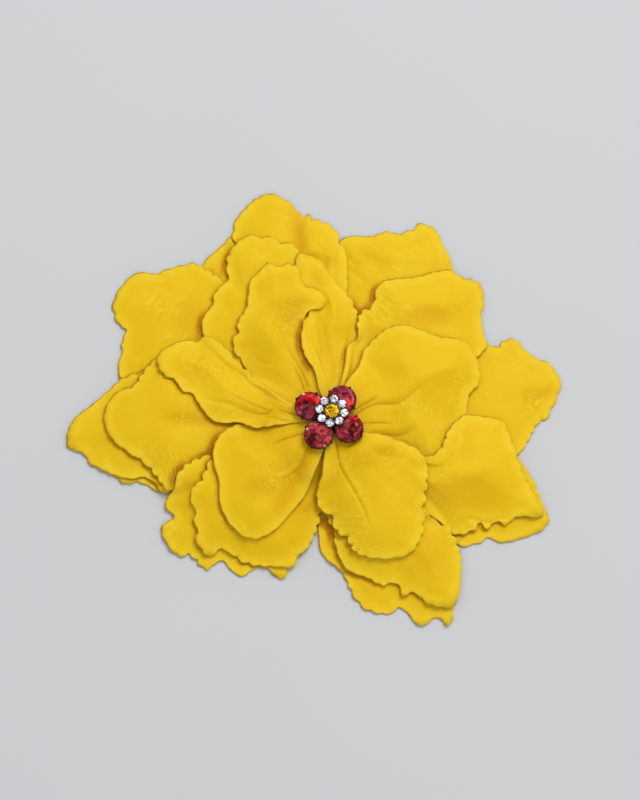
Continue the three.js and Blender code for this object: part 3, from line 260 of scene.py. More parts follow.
            (0.15, 0.8, [(-7.7, 3.1), (-12, 5.9), (-16.7, 9.7), (-21.2, 14.3), (-25.7, 18.7)])],
        swells=[(-31, 17, 6, 5, 0.5)],
        tucks=[(-10.5, 7, 5, -0.8, -1.9)]),
    petal_top_south=dict(
        wave=0.8, frill=1.7, rise=0.75,
        rim=[(-0.1, -6), (-1.7, -14.7), (-3.6, -19.7), (-2.8, -23.9), (0.2, -25.9), (1.3, -30.2),
            (3.9, -31.8), (6.6, -35.9), (12, -37.7), (18.2, -37.5), (21.7, -36.1), (23.3, -34.2),
            (25.2, -30), (25.6, -22.9), (26.3, -13.5), (25, -9.9), (21.8, -6.8), (15.1, -4.7),
            (8.6, -4.4), (5.3, -3.6)],
        creases=[(0.5, 0.5, [(1.7, -7.2), (2.7, -13), (5.7, -18.4), (8.7, -24.2), (10.5, -29),
            (13.1, -31.8)]), (0.25, 1.5, [(1, -12.2), (1.8, -21.5), (3.6, -28.2)])],
        swells=[(15, -20, 7, 9, 0.4), (7.5, -9, 4, 3.5, 1.8), (17, -11, 8, 4.5, -0.35)],
        tucks=[(-1, -10, 5, -0.8, 0)]),
)

SIDE_SHARE = 0.36  # of the rim's length along each side, as in the part's source
SOLID_THICKNESS = 0.7
OVER_ALL = 40  # a height above every solid
FELT_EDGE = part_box("felt_backing")[1].x / MM
FELT_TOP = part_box("felt_backing")[1].z / MM
SEAT_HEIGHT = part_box("red_stone_mount")[0].z / MM

OUT_STEPS = 112
ACROSS_STEPS = 100
COARSE = 4  # fine steps to a step of the first, coarse net
COARSE_PASSES = 500
FINE_PASSES = 150
SOLID_PASSES = 30  # of blurring, which takes the flat faces out of a solid's heights
RIM_STEPS = 14  # straight pieces between two points of a rim
PATH_STEPS = 5  # straight pieces between two points of a crease
RIM_SPACING = 0.4  # of the points with which a place's nearest point on the rim is found

CLOTH_THICKNESS = 0.35
CLOTH_GAP = 0.08
RIM_WAVE_LENGTH = 8.5
SCALLOP_LENGTH = 3.4
JEWEL_REACH = 9.5
ROOT_REACH = 4  # how far the cloth of each root is drawn in under the jewel
GATHERS = (2.3, 4.1, 6.7, 9.9)  # ripples across a root, in four sizes
SUNNY_SIDE = (0.94, -0.34)  # the side on which the edges are bright

FADE_SHARE = 0.4  # of a crease's length, over which it dies away
SHARP_WIDTH = 1.0  # below this a crease is painted as a dark shaded line
SOFT_DEPTH = 0.3  # above this a wider crease is painted in shade
LINE_WIDTH = 0.35
STEP_LINE_WIDTH = 0.45
LINE_REACH = 24  # how far from the jewel the painted shade lines run
# The most painted shade that a hollow gets.
DEEPEST_FOLD_SHADE = 0.7


def smooth_step(x):
    x = np.clip(x, 0, 1)
    return x * x * (3 - 2 * x)


def bell(x, power=2):
    """1 at nought, and less and less to both sides."""
    return np.exp(-(x**power))


def near_spot(places, x, y, reach, power=2):
    return bell(np.linalg.norm(places - [x, y], axis=-1) / reach, power)


class Rim:
    """A petal's outline in plan, measured by its length."""

    def __init__(self, points, span_steps):
        places = np.array(points, float)
        last = len(places) - 1
        turn = np.arange(last + 1)
        directions = places[np.minimum(turn + 1, last)] - places[np.maximum(turn - 1, 0)]
        directions /= np.linalg.norm(directions, axis=1)[:, None]
        samples = [places[:1]]
        t = (np.arange(span_steps) + 1)[:, None] / span_steps
        for i in range(last):
            span = np.linalg.norm(places[i + 1] - places[i])
            samples.append(
                (2 * t**3 - 3 * t**2 + 1) * places[i]
                + (3 * t**2 - 2 * t**3) * places[i + 1]
                + (t**3 - 2 * t**2 + t) * span * directions[i]
                + (t**3 - t**2) * span * directions[i + 1]
            )
        self.samples = np.concatenate(samples)
        steps = np.linalg.norm(np.diff(self.samples, axis=0), axis=1)
        self.reached = np.concatenate([[0], np.cumsum(steps)])
        self.length = self.reached[-1]

    def at(self, share):
        wanted = np.clip(share, 0, 1) * self.length
        sides = [np.interp(wanted, self.reached, self.samples[:, k]) for k in (0, 1)]
        return np.stack(sides, axis=-1)

    def nearest(self, places):
        """For each place: how far the rim is, and how far round it the nearest point lies."""
        reached = np.linspace(0, self.length, int(self.length / RIM_SPACING))
        ring = self.at(reached / self.length)
        gaps = np.linalg.norm(places.reshape(-1, 1, 2) - ring[None], axis=2)
        closest = gaps.argmin(axis=1)
        shape = places.shape[:-1]
        return gaps.min(axis=1).reshape(shape), reached[closest].reshape(shape)

    def outward(self, reached, step=0.6):
        ahead = self.at((reached + step) / self.length) - self.at((reached - step) / self.length)
        ahead /= np.linalg.norm(ahead, axis=-1)[..., None]
        return np.stack([ahead[..., 1], -ahead[..., 0]], axis=-1)


def place_on(rim, out, across):
    """The place in plan at shares of the way out and across, blended from the petal's edges."""
    a, o = across[..., None], out[..., None]
    ends = rim.at(SIDE_SHARE) * (1 - a) + rim.at(1 - SIDE_SHARE) * a
    sides = rim.at(SIDE_SHARE * out) * (1 - a) + rim.at(1 - SIDE_SHARE * out) * a
    tip = rim.at(SIDE_SHARE + (1 - 2 * SIDE_SHARE) * across)
    return sides + (tip - ends) * o


def evened(places, passes):
    """Moves the inner places until rows and columns run evenly and never cross."""
    for _ in range(passes):
        along_row = places[1:-1, 2:] - places[1:-1, :-2]
        along_column = places[2:, 1:-1] - places[:-2, 1:-1]
        ends = (along_row**2).sum(axis=-1, keepdims=True)
        sides = (along_column**2).sum(axis=-1, keepdims=True)
        skew = (along_row * along_column).sum(axis=-1, keepdims=True) / 2
        corners = places[2:, 2:] + places[:-2, :-2] - places[:-2, 2:] - places[2:, :-2]
        mean = ends * (places[2:, 1:-1] + places[:-2, 1:-1]) - skew * corners
        mean += sides * (places[1:-1, 2:] + places[1:-1, :-2])
        places[1:-1, 1:-1] = mean / (2 * (ends + sides))
    return places


def net_places(rim, out, across):
    """The petal's net in plan, evened on a coarse net first and then on the fine one."""
    blended = place_on(rim, out[::COARSE, ::COARSE], across[::COARSE, ::COARSE])
    moved = evened(blended.copy(), COARSE_PASSES) - blended
    for axis, fine in enumerate((out[:, 0], across[0])):
        moved = np.apply_along_axis(
            lambda line: np.interp(fine, fine[::COARSE], line), axis, moved
        )
    return evened(place_on(rim, out, across) + moved, FINE_PASSES)


def blurred(field, passes=1):
    for _ in range(passes):
        wide = np.pad(field, 1, mode="edge")
        rows = (wide[:-2] + 2 * wide[1:-1] + wide[2:]) / 4
        field = (rows[:, :-2] + 2 * rows[:, 1:-1] + rows[:, 2:]) / 4
    return field


def solid_heights(name, places):
    """The height of the solid's middle plane under each place, smoothed over its flat faces."""
    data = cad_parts[name].data
    corners = [v.co / MM for v in data.vertices]
    solid = BVHTree.FromPolygons(corners, [tuple(p.vertices) for p in data.polygons])
    down = Vector((0, 0, -1))
    heights = np.zeros(places.shape[:-1])
    found = np.zeros_like(heights)
    for spot in np.ndindex(heights.shape):
        hit = solid.ray_cast(Vector((*places[spot], OVER_ALL)), down)[0]
        if hit:
            heights[spot] = hit.z - SOLID_THICKNESS / 2
            found[spot] = 1
    weight = blurred(found, SOLID_PASSES)
    return blurred(heights, SOLID_PASSES) / np.maximum(weight, 1e-6)


def beside_path(places, points):
    """How far each place is from a path, signed to its left, and how the path fades there."""
    path = Rim(points, PATH_STEPS).samples
    best = np.full(places.shape[:-1], np.inf)
    signed = np.zeros_like(best)
    along = np.zeros_like(best)
    lengths = np.linalg.norm(np.diff(path, axis=0), axis=1)
    done = 0
    for i, length in enumerate(lengths):
        direction = (path[i + 1] - path[i]) / length
        away = places - path[i]
        t = np.clip(away @ direction, 0, length)
        distance = np.linalg.norm(away - t[..., None] * direction, axis=-1)
        left = direction[0] * away[..., 1] - direction[1] * away[..., 0]
        closer = distance < best
        best = np.where(closer, distance, best)
        signed = np.where(closer, np.copysign(distance, left), signed)
        along = np.where(closer, (done + t) / lengths.sum(), along)
        done += length
    return signed, smooth_step((1 - along) / FADE_SHARE)


def crease_heights(petal, places):
    """The heights of creases, steps and swells, and two masks of painted shade: a dark line along
    sharp creases and steps, and a soft shade in wide creases, steps and hollows.
    """
    height = np.zeros(places.shape[:-1])
    line = np.zeros_like(height)
    fold_shade = np.zeros_like(height)
    near_jewel = near_spot(places, 0, 0, LINE_REACH, 4)
    for depth, width, points in petal.get("creases", []):
        signed, fade = beside_path(places, points)
        height -= depth * bell(signed / width) * fade
        if width < SHARP_WIDTH:
            line = np.maximum(line, bell(signed / LINE_WIDTH) * fade * near_jewel)
        elif depth > SOFT_DEPTH:
            fold_shade = np.maximum(fold_shade, depth * bell(signed / width) * fade)
    for rise, width, points in petal.get("steps", []):
        signed, fade = beside_path(places, points)
        share = signed / width
        height += rise * share * bell(share) * fade
        fold_shade = np.maximum(fold_shade, np.exp(-((share - 0.4) ** 2) * 2) * fade)
        line = np.maximum(line, 0.7 * bell(signed / STEP_LINE_WIDTH) * fade)
    for x, y, radius_x, radius_y, rise in petal.get("swells", []):
        away = (((places - [x, y]) / [radius_x, radius_y]) ** 2).sum(axis=-1)
        height += rise * np.exp(-away)
        if rise < 0:
            fold_shade = np.maximum(fold_shade, bell(away) * min(-rise, DEEPEST_FOLD_SHADE))
    return height, line, fold_shade


def scallops(reached, turns):
    """Uneven round scallops with sharp notches between them, from 0 to 1."""
    drift = 0.9 * np.sin(reached / 3.1 + turns[1]) + 0.7 * np.sin(reached / 7.3 + turns[2])
    strength = 0.25 + 0.75 * (0.5 + 0.5 * np.sin(reached / 5.7 + turns[3])) ** 2
    arcs = np.abs(np.sin(math.pi * reached / SCALLOP_LENGTH + turns[0] + drift))
    return (1 - arcs) * strength


# ---- Laying the petals ----
# The heights of what has been laid so far are kept on a fine square grid in plan.

CELL = 0.35
CELLS = 440
SETTLE_PASSES, PRESS_PASSES = 10, 3  # of blurring the way down
MOST_DOWN = 7
LIFT_PASSES = 70  # of spreading the way up
LIFT_KEPT = 0.995  # of the way up, at each pass
SEAT_CLEARANCE = 0.3  # the cloth beside the jewel stays this far under its seat


def cells_of(places):
    cells = np.rint(places / CELL).astype(int) + CELLS // 2
    return cells[..., 1], cells[..., 0]


def around(grid, rows, columns, worst):
    """The highest (or lowest) value of the grid in the cells round each place."""
    steps = (-1, 0, 1)
    return worst.reduce([grid[rows + i, columns + k] for i in steps for k in steps])


def lay(heights, places, laid, petal, settle, press):
    """Lets the petal down towards those below it, and lifts it smoothly clear of them."""
    step = CLOTH_THICKNESS + CLOTH_GAP
    rows, columns = cells_of(places)
    radius = np.linalg.norm(places, axis=-1)
    lowest = np.where(radius < FELT_EDGE + 1, FELT_TOP, 0) + CLOTH_GAP + CLOTH_THICKNESS / 2
    highest = np.full_like(heights, np.inf)
    weave = petal.get("weave")
    for name, (tops, bottoms) in laid.items():
        below = around(tops, rows, columns, np.maximum) + step
        if weave and weave["neighbour"] == name:
            over = places[..., 1] < weave["over_up_to"]
            under = places[..., 1] > weave["under_from"]
            above = around(bottoms, rows, columns, np.minimum) - step
            highest = np.where(under, np.minimum(highest, above), highest)
            below = np.where(over, below, -np.inf)
        lowest = np.maximum(lowest, below)
    for share, passes in ((settle, SETTLE_PASSES), (press, PRESS_PASSES)):
        heights = heights - blurred(share * np.clip(heights - lowest, 0, MOST_DOWN), passes)
    for limit, sign in ((lowest, 1), (highest, -1)):
        need = np.maximum(sign * (limit - heights), 0)
        need[~np.isfinite(need)] = 0
        lift = need
        for _ in range(LIFT_PASSES):
            lift = np.maximum(blurred(lift) * LIFT_KEPT, need)
        heights = heights + sign * lift
    ceiling = SEAT_HEIGHT - SEAT_CLEARANCE + 2 * smooth_step((radius - JEWEL_REACH + 0.5) / 3)
    return np.where(radius < JEWEL_REACH + 2.5, np.minimum(heights, ceiling), heights)


def raster(heights, places):
    """The highest and lowest of the blade over each cell of the plan grid."""
    tops = np.full((CELLS, CELLS), -np.inf)
    bottoms = np.full((CELLS, CELLS), np.inf)

    def inside_faces(field, s, t):
        return (
            field[:-1, :-1] * (1 - s) * (1 - t)
            + field[1:, :-1] * s * (1 - t)
            + field[:-1, 1:] * (1 - s) * t
            + field[1:, 1:] * s * t
        )

    for s, t in ((0, 0), (0, 0.5), (0.5, 0), (0.5, 0.5)):
        rows, columns = cells_of(inside_faces(places, s, t))
        np.maximum.at(tops, (rows, columns), inside_faces(heights, s, t))
        np.minimum.at(bottoms, (rows, columns), inside_faces(heights, s, t))
    return tops, bottoms


# ---- Materials ----


class Value:
    """A socket's value, with the sums that are written on it added as Math nodes."""

    def __init__(self, shop, socket):
        self.shop, self.socket = shop, socket

    def sum(self, operation, *others, swap=False):
        values = [self, *others]
        return self.shop.add("Math", values[::-1] if swap else values, operation=operation)

    def __add__(self, other):
        return self.sum("ADD", other)

    def __sub__(self, other):
        return self.sum("SUBTRACT", other)

    def __rsub__(self, other):
        return self.sum("SUBTRACT", other, swap=True)

    def __mul__(self, other):
        return self.sum("MULTIPLY", other)

    __radd__ = __add__
    __rmul__ = __mul__


class Finish:
    """A material whose nodes are added by one method."""

    def __init__(self, name):
        self.material = bpy.data.materials.new(name)
        self.material.use_nodes = True
        self.tree = self.material.node_tree
        self.tree.nodes.clear()

    def add(self, kind, inputs=(), output=0, **settings):
        node = self.tree.nodes.new("ShaderNode" + kind)
        for key, value in settings.items():
            setattr(node, key, value)
        pairs = inputs.items() if isinstance(inputs, dict) else enumerate(inputs)
        for key, value in pairs:
            if isinstance(value, Value):
                self.tree.links.new(value.socket, node.inputs[key])
            else:
                node.inputs[key].default_value = value
        return Value(self, node.outputs[output]) if len(node.outputs) else None

    def mixed(self, share, first, second, blend="MIX"):
        colours = [c if isinstance(c, Value) else (*c, 1) for c in (first, second)]
        inputs = {0: share, 6: colours[0], 7: colours[1]}
        return self.add("Mix", inputs, output=2, data_type="RGBA", blend_type=blend)

    def place(self):
        return self.add("TexCoord", output=3)

    def painted(self, name):
        """The value that each of the piece's vertices was given under the name."""
        return self.add("Attribute", output=2, attribute_name=name)

    def noise(self, place, scale, detail=2.0, roughness=0.5):
        return self.add(
            "TexNoise", {"Vector": place, "Scale": scale, "Detail": detail, "Roughness": roughness}
        )

    def ranged(self, value, low, high, first, last):
        """Runs from first to last while the value runs from low to high."""
        return self.add("MapRange", [value, low, high, first, last], clamp=True)

    def scaled(self, place, factors):
        return self.add("VectorMath", [place, factors], operation="MULTIPLY")

    def bumped(self, height, strength, distance):
        return self.add("Bump", {"Height": height, "Strength": strength, "Distance": distance})

    def surface(self, **sockets):
        inputs = {key.replace("_", " "): value for key, value in sockets.items()}
        shader = self.add("BsdfPrincipled", inputs)
        self.add("OutputMaterial", {"Surface": shader})
        return self.material


GOLDEN, LEMON = (0.73, 0.42, 0.002), (0.80, 0.545, 0.014)
THROAT_SHADE = (0.70, 0.38, 0.002)
HOLLOW_SHADE = (0.63, 0.30, 0.001)
PAINTED_SHADOW = (0.44, 0.155, 0.001)
CREASE_SHADE = (0.36, 0.13, 0.001)
RIM_HIGHLIGHT = (0.86, 0.62, 0.03)
GLINT = (0.92, 0.72, 0.06)
EDGE_SHADE = (0.30, 0.11, 0.002)
SHEEN_TINT = (1.0, 0.8, 0.3, 1)
DARK_FELT, PALE_FELT, BLOTCH = (0.50, 0.29, 0.02), (0.78, 0.51, 0.05), (0.60, 0.36, 0.03)
DARK_METAL, WORN_METAL = (0.02, 0.014, 0.014), (0.06, 0.045, 0.04)
FLOOR_GREYS = (0.57, 0.57, 0.575), (0.60, 0.60, 0.60)


def petal_satin():
    f = Finish("petal_satin")
    place = f.place()
    sheet = f.add("UVMap", uv_map="sheet")
    edge_shadow = f.painted("edge_shadow")
    cloudy = f.noise(place, 70, 3)
    # Painted shade on the rim of edges that face away from the light, and a painted highlight in a
    # band just inside the rim.
    uneven_rim_gap = f.noise(place, 900, 2) * 0.3 + f.painted("rim")
    edge = f.ranged(uneven_rim_gap, 0.2, 0.6, 0.85, 0.0) * f.painted("shaded_edge")
    highlight_band = f.ranged(uneven_rim_gap, 0.6, 3.2, 0.45, 0.0)

    # The relief: crumples in patches, and fine threads along the petal; the crests of the crumples
    # also get painted glints.
    strip = f.add("VectorMath", [sheet, f.noise(place, 120, 2) * 0.12], operation="ADD")
    ripples = f.noise(f.scaled(strip, (11, 42, 1)), 1.0, 4, 0.65)
    patches = f.ranged(f.noise(place, 95, 2), 0.48, 0.68, 0.05, 1.0)
    threads = f.noise(f.scaled(sheet, (420, 30, 1)), 1.0, 1)
    glints = f.ranged(ripples, 0.5, 0.75, 0.0, 0.6) * patches

    # The cloth's yellow, changing at random, with painted shade at the throat, in folds and
    # hollows, under the edges of the petals over it and in creases, a painted highlight along the
    # rim and on the crumples, and painted shade on the edges that face away from the light.
    colour = f.mixed(cloudy, GOLDEN, LEMON)
    for share, tone in (
        (f.painted("throat_shade") * 0.5, THROAT_SHADE), (f.painted("fold_shade") * 0.75, HOLLOW_SHADE), (edge_shadow * 0.9, PAINTED_SHADOW),
        (f.painted("shaded_crease") * 0.6, CREASE_SHADE), (highlight_band * (1 - edge_shadow), RIM_HIGHLIGHT), (glints, GLINT),
        (edge, EDGE_SHADE),
    ):
        colour = f.mixed(share, colour, tone)
    return f.surface(
        Base_Color=colour, Roughness=0.42 + cloudy * 0.1,
        Normal=f.bumped(ripples * patches + threads * 0.08, 0.65, 0.0005),
        Specular_IOR_Level=0.2, Specular_Tint=SHEEN_TINT,
    )


def felt():
    f = Finish("yellow_felt")
    fibres = f.noise(f.scaled(f.place(), (1, 1, 0.4)), 1400, 4, 0.7)
    blotches = f.noise(f.place(), 180, 3)
    colour = f.mixed(blotches * 0.4, f.mixed(fibres, DARK_FELT, PALE_FELT), BLOTCH)
    return f.surface(
        Base_Color=colour, Roughness=0.95, Normal=f.bumped(fibres, 0.6, 0.0004), Sheen_Weight=0.3
    )


def dark_metal():
    f = Finish("dark_metal")
    worn = f.noise(f.place(), 900, 3)
    return f.surface(
        Base_Color=f.mixed(worn, DARK_METAL, WORN_METAL), Metallic=0.8,
        Roughness=0.28 + worn * 0.2, Normal=f.bumped(worn, 0.15, 0.0001),
    )


def glass(name, clear_coat):
    """Foiled glass: each facet has its own tint with painted reflections, broken up into smaller
    painted flashes of reflected light.
    """
    f = Finish(name)
    tint_and_reflection = f.add("Attribute", attribute_name="tint_and_reflection")
    haze = f.noise(f.place(), 1500, 2)
    flashes = f.add("TexVoronoi", {"Vector": f.place(), "Scale": 850.0}, output=1)
    light = f.ranged(flashes, 0.25, 0.75, 0.4, 1.5)
    return f.surface(
        Base_Color=f.mixed(1.0, tint_and_reflection, light, blend="MULTIPLY"), Roughness=0.06 + haze * 0.06,
        IOR=1.5, Specular_IOR_Level=0.05, Coat_Weight=clear_coat, Coat_Roughness=0.03,
    )


def pale_floor():
    f = Finish("pale_floor")
    colour = f.mixed(f.noise(f.place(), 6, 2), *FLOOR_GREYS)
    return f.surface(Base_Color=colour, Roughness=0.9, Specular_IOR_Level=0.1)


FINISHES = {
    "petal_cloth": petal_satin(),
    "felt": felt(),
    "dark_metal": dark_metal(),
    "red_glass": glass("red_glass", 0.04),
    "clear_glass": glass("clear_glass", 0.4),
    "yellow_glass": glass("yellow_glass", 0.1),
}

# ---- Pieces ----


def as_object(name, shape, material):
    mesh = bpy.data.meshes.new(name)
    shape.to_mesh(mesh)
    shape.free()
    mesh.materials.append(material)
    piece = bpy.data.objects.new(name, mesh)
    scene.collection.objects.link(piece)
    return piece


def add_piece(name, shape, slot, node):
    """Places a bmesh in mm as a piece that stands for a node."""
    bmesh.ops.scale(shape, vec=(MM, MM, MM), verts=shape.verts)
    piece = as_object(name, shape, FINISHES[slot])
    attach(piece, "root")
    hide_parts(node)
    return piece


def put_values(piece, name, values):
    """Gives each of the piece's vertices its value under the name."""
    piece.data.attributes.new(name, "FLOAT", "POINT").data.foreach_set("value", values.ravel())


def petal_sheet():
    """A flat grid with a UV map, and each corner's share of the way across and out."""
    shape = bmesh.new()
    sheet = shape.loops.layers.uv.new("sheet")
    bmesh.ops.create_grid(
        shape, x_segments=ACROSS_STEPS, y_segments=OUT_STEPS, size=0.5, calc_uvs=False
    )
    shape.verts.ensure_lookup_table()
    grid = np.array([v.co[:2] for v in shape.verts]).reshape(OUT_STEPS + 1, ACROSS_STEPS + 1, 2)
    for face in shape.faces:
        face.smooth = True
        for loop in face.loops:
            loop[sheet].uv = loop.vert.co.x + 0.5, loop.vert.co.y + 0.5
    return shape, grid[..., 0] + 0.5, grid[..., 1] + 0.5


def petal_piece(name, petal, laid, chance):
    rim = Rim(petal["rim"], RIM_STEPS)
    shape, across, out = petal_sheet()
    places = net_places(rim, out, across)
    heights = solid_heights(name, places)
    rim_gap, reached = rim.nearest(places)
    outward = rim.outward(reached)
    turns = chance.uniform(0, 2 * math.pi, 12)

    # In plan: the notches in the rim, the tucks, and the root drawn in under the jewel.
    free = smooth_step(out * 2.2)
    notches = petal.get("frill", 1) * scallops(reached, turns) * free
    places = places + outward * ((0.25 - 0.75 * notches) * bell(rim_gap / 1.2))[..., None]
    for x, y, reach, shift_x, shift_y in petal.get("tucks", []):
        places = places + near_spot(places, x, y, reach)[..., None] * [shift_x, shift_y]
    root_gap = out * np.linalg.norm(rim.at(0) - rim.at(SIDE_SHARE))
    inner = ROOT_REACH * bell(root_gap / 5) / np.linalg.norm(places, axis=-1)
    places = places * (1 - inner)[..., None]

    # In height: waves and notches along the rim, creases, gathers at the root, and the rise.
    waves = np.sin(2 * math.pi * reached / RIM_WAVE_LENGTH + turns[4])
    heights += 0.28 * petal["wave"] * waves * bell(rim_gap / 2.6) * free
    heights -= 0.3 * notches * bell(rim_gap / 1.1)
    creased, shaded_crease_line, fold_shade = crease_heights(petal, places)
    heights += creased
    for turn, ripples in zip(turns[5:], GATHERS):
        reach = 4 + 9 * (turn / 6.3) ** 2
        gather = np.sin(2 * math.pi * ripples * across + turn + 1.5 * out)
        heights += 0.06 * gather * bell(root_gap / reach) * np.sin(math.pi * across)
    radius = np.linalg.norm(places, axis=-1)
    rise = petal.get("rise", 0.5) * bell((radius - 6) / 9)
    heights += rise * (SEAT_HEIGHT + 0.2 - heights)
    settle = 0.85 * bell(rim_gap / 8) * smooth_step((radius - 11) / 9)
    press = np.zeros_like(settle)
    for spot in petal.get("presses", []):
        press = np.maximum(press, near_spot(places, *spot))
    heights = lay(heights, places, laid, petal, settle, press)
    laid[name] = raster(heights, places)

    for vertex, (x, y), z in zip(shape.verts, places.reshape(-1, 2), heights.ravel()):
        vertex.co = x, y, z
    piece = add_piece(name + "_cloth", shape, "petal_cloth", name)
    put_values(piece, "rim", rim_gap)
    # Painted shade on the edges that face away from the light.
    put_values(piece, "shaded_edge", 1 - 0.9 * smooth_step(outward @ SUNNY_SIDE + 0.5))
    # Painted shade along the sharp creases and steps.
    put_values(piece, "shaded_crease", shaded_crease_line)
    # Painted shade in the wide folds and hollows.
    put_values(piece, "fold_shade", fold_shade)
    # Painted shade, deepest at the throat under the jewel and fading outwards.
    put_values(piece, "throat_shade", bell(radius / 17))
    wall = piece.modifiers.new("cloth_thickness", "SOLIDIFY")
    wall.thickness = CLOTH_THICKNESS * MM
    wall.offset = 0
    wall.use_even_offset = False
    return piece, places


SHADE_SHIFT = (0.5, 0.2)  # the shade falls away from the light by this much
NARROW_SHADE, WIDE_SHADE = 2, 12  # passes of blurring


def edge_shadow_values(name, places):
    """Painted shadow: how near each place is to the foot of a petal that lies over this one, from 0
    to 1.
    """
    own = laid[name][0]
    others = [tops for other, (tops, _) in laid.items() if other != name]
    covered = ((np.maximum.reduce(others) > own + 0.1) & np.isfinite(own)).astype(float)
    cells = cells_of(places + SHADE_SHIFT)
    edge_shadow = 0.65 * np.clip(2 * blurred(covered, NARROW_SHADE)[cells], 0, 1)
    wide = np.clip(6 * blurred(covered, WIDE_SHADE)[cells], 0, 1)
    for spot in PETALS[name].get("overhang", []):
        edge_shadow = np.maximum(edge_shadow, wide * near_spot(places, *spot, 4))
    for spot in PETALS[name].get("flush", []):
        edge_shadow *= 1 - near_spot(places, *spot, 4)
    return edge_shadow


laid = {}
wave_chance = np.random.default_rng(7)
made = {name: petal_piece(name, petal, laid, wave_chance) for name, petal in PETALS.items()}
# Each petal gets its painted shadow along the edges of the petals that lie over it.
for petal_name, (piece, places) in made.items():
    put_values(piece, "edge_shadow", edge_shadow_values(petal_name, places))


def felt_piece():
    shape = bmesh.new()
    bmesh.ops.create_cone(
        shape, cap_ends=True, segments=96, radius1=FELT_EDGE, radius2=FELT_EDGE, depth=FELT_TOP,
        matrix=Matrix.Translation((0, 0, FELT_TOP / 2)),
    )
    rims = [e for e in shape.edges if e.calc_face_angle(0) > 1]
    bmesh.ops.bevel(
        shape, geom=rims, offset=0.35, segments=3, profile=0.5, affect="EDGES", material=-1
    )
    add_piece("felt_backing_disc", shape, "felt", "felt_backing")


felt_piece()

# ---- The cut stones ----

PAVILION, DEPTH = 0.42, 0.8  # under the girdle and in all, as shares of the radius
# Rings of corners: (radius and height over the girdle, as shares of the stone's radius; corners to
# each of its sides; turn in corners).
STONE_RINGS = [
    (0.52, 0.375, 1, 0), (0.79, 0.235, 1, 0.5), (0.995, 0.04, 4, 0), (0.995, -0.04, 4, 0),
    (0.45, -0.415, 1, 0),
]
SAME_FACET = 0.01  # faces that turn less than this are one facet

CRIMSON = (0.38, 0.006, 0.012)
DEEP_CRIMSON = (0.17, 0.003, 0.005)
SCARLET = (0.58, 0.025, 0.012)
ROSE = (0.56, 0.055, 0.065)
PLUM = (0.28, 0.018, 0.036)
# A painted glint on a few facets of a red stone's crown.
FLASH = (0.9, 0.72, 0.75)
AMBER_RIM, AMBER_CORE = np.array([0.88, 0.52, 0.01]), np.array([0.35, 0.13, 0.003])


def stone_place(node):
    """The middle of the stone, the height of its girdle, and its radius."""
    low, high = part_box(node)
    girdle = low.z / MM + (high.z - low.z) / MM * PAVILION / DEPTH
    return (low + high) / 2 / MM, girdle, (high.x - low.x) / 2 / MM


def cut_stone(node, sides, tints_and_reflections, chance, slot, width=1.0):
    """A round cut stone over the node's solid, each facet with its own tint and painted reflection.
    """
    middle, girdle, radius = stone_place(node)
    radius *= width
    shape = bmesh.new()
    for share, height, corners, turn in STONE_RINGS:
        for i in range(corners * sides):
            angle = 2 * math.pi * (i + turn) / (corners * sides)
            x = middle.x + radius * share * math.cos(angle)
            y = middle.y + radius * share * math.sin(angle)
            shape.verts.new((x, y, girdle + height * radius))
    hull = bmesh.ops.convex_hull(shape, input=shape.verts)
    bmesh.ops.delete(shape, geom=hull["geom_interior"], context="VERTS")
    bmesh.ops.dissolve_limit(shape, angle_limit=SAME_FACET, verts=shape.verts, edges=shape.edges)
    table = max(shape.faces, key=lambda f: f.calc_center_median().z)
    bmesh.ops.poke(shape, faces=[table])
    bmesh.ops.triangulate(shape, faces=shape.faces)
    layer = shape.loops.layers.float_color.new("tint_and_reflection")
    for face in shape.faces:
        centre = face.calc_center_median()
        away = Vector((centre.x - middle.x, centre.y - middle.y)) / radius
        tint_and_reflection = tints_and_reflections(away, chance)
        for loop in face.loops:
            loop[layer] = (*tint_and_reflection, 1)
        face.smooth = False
    add_piece(node + "_cut", shape, slot, node)


def core_share(away):
    """How far out a facet is, from 0 in the middle to 1 on the crown."""
    return min(away.length / 0.6, 1)


def shades(*stops):
    """Picks a facet's tint with painted reflections: stops are (direction in degrees, colour at the
    rim), and the middle.
    """
    *sides, core = stops

    def tint_and_reflection(away, chance):
        angle = math.degrees(math.atan2(away.y, away.x))
        total, colour = 0, np.zeros(3)
        for direction, side in sides:
            turn = abs((angle - direction + 180) % 360 - 180)
            weight = math.exp(-((turn / 45) ** 2)) + 1e-3
            total += weight
            colour = colour + weight * np.array(side)
        share = core_share(away)
        colour = colour / total * share + np.array(core) * (1 - share)
        # Painted reflections: each facet lighter or darker at random, some paled, and a few crown
        # facets painted as white glints.
        light = chance.choice([0.5, 0.7, 0.85, 1.0, 1.15, 1.3])
        pale_reflection = chance.choice([0, 0, 0, 0.02, 0.05, 0.1])
        if away.length > 0.9 and chance.random() < 0.03:
            return FLASH
        return tuple(np.clip(colour * light + pale_reflection * np.array([0.7, 0.5, 0.5]), 0, 1))

    return tint_and_reflection


def clear_shades(away, chance):
    # A clear facet's painted reflection: lighter or darker at random, some with a rosy cast.
    light = chance.choice([0.22, 0.55, 0.8, 0.95, 1.0])
    rose = chance.choice([0, 0.03, 0.08])
    return (light, max(light - rose, 0.02), light)


def amber_shades(away, chance):
    # An amber facet, lighter or darker at random as a painted reflection, and deeper in the middle
    # than on the crown.
    light = chance.choice([0.25, 0.55, 0.85, 1.05])
    share = core_share(away) ** 2
    return tuple(light * (AMBER_RIM * share + AMBER_CORE * (1 - share)))


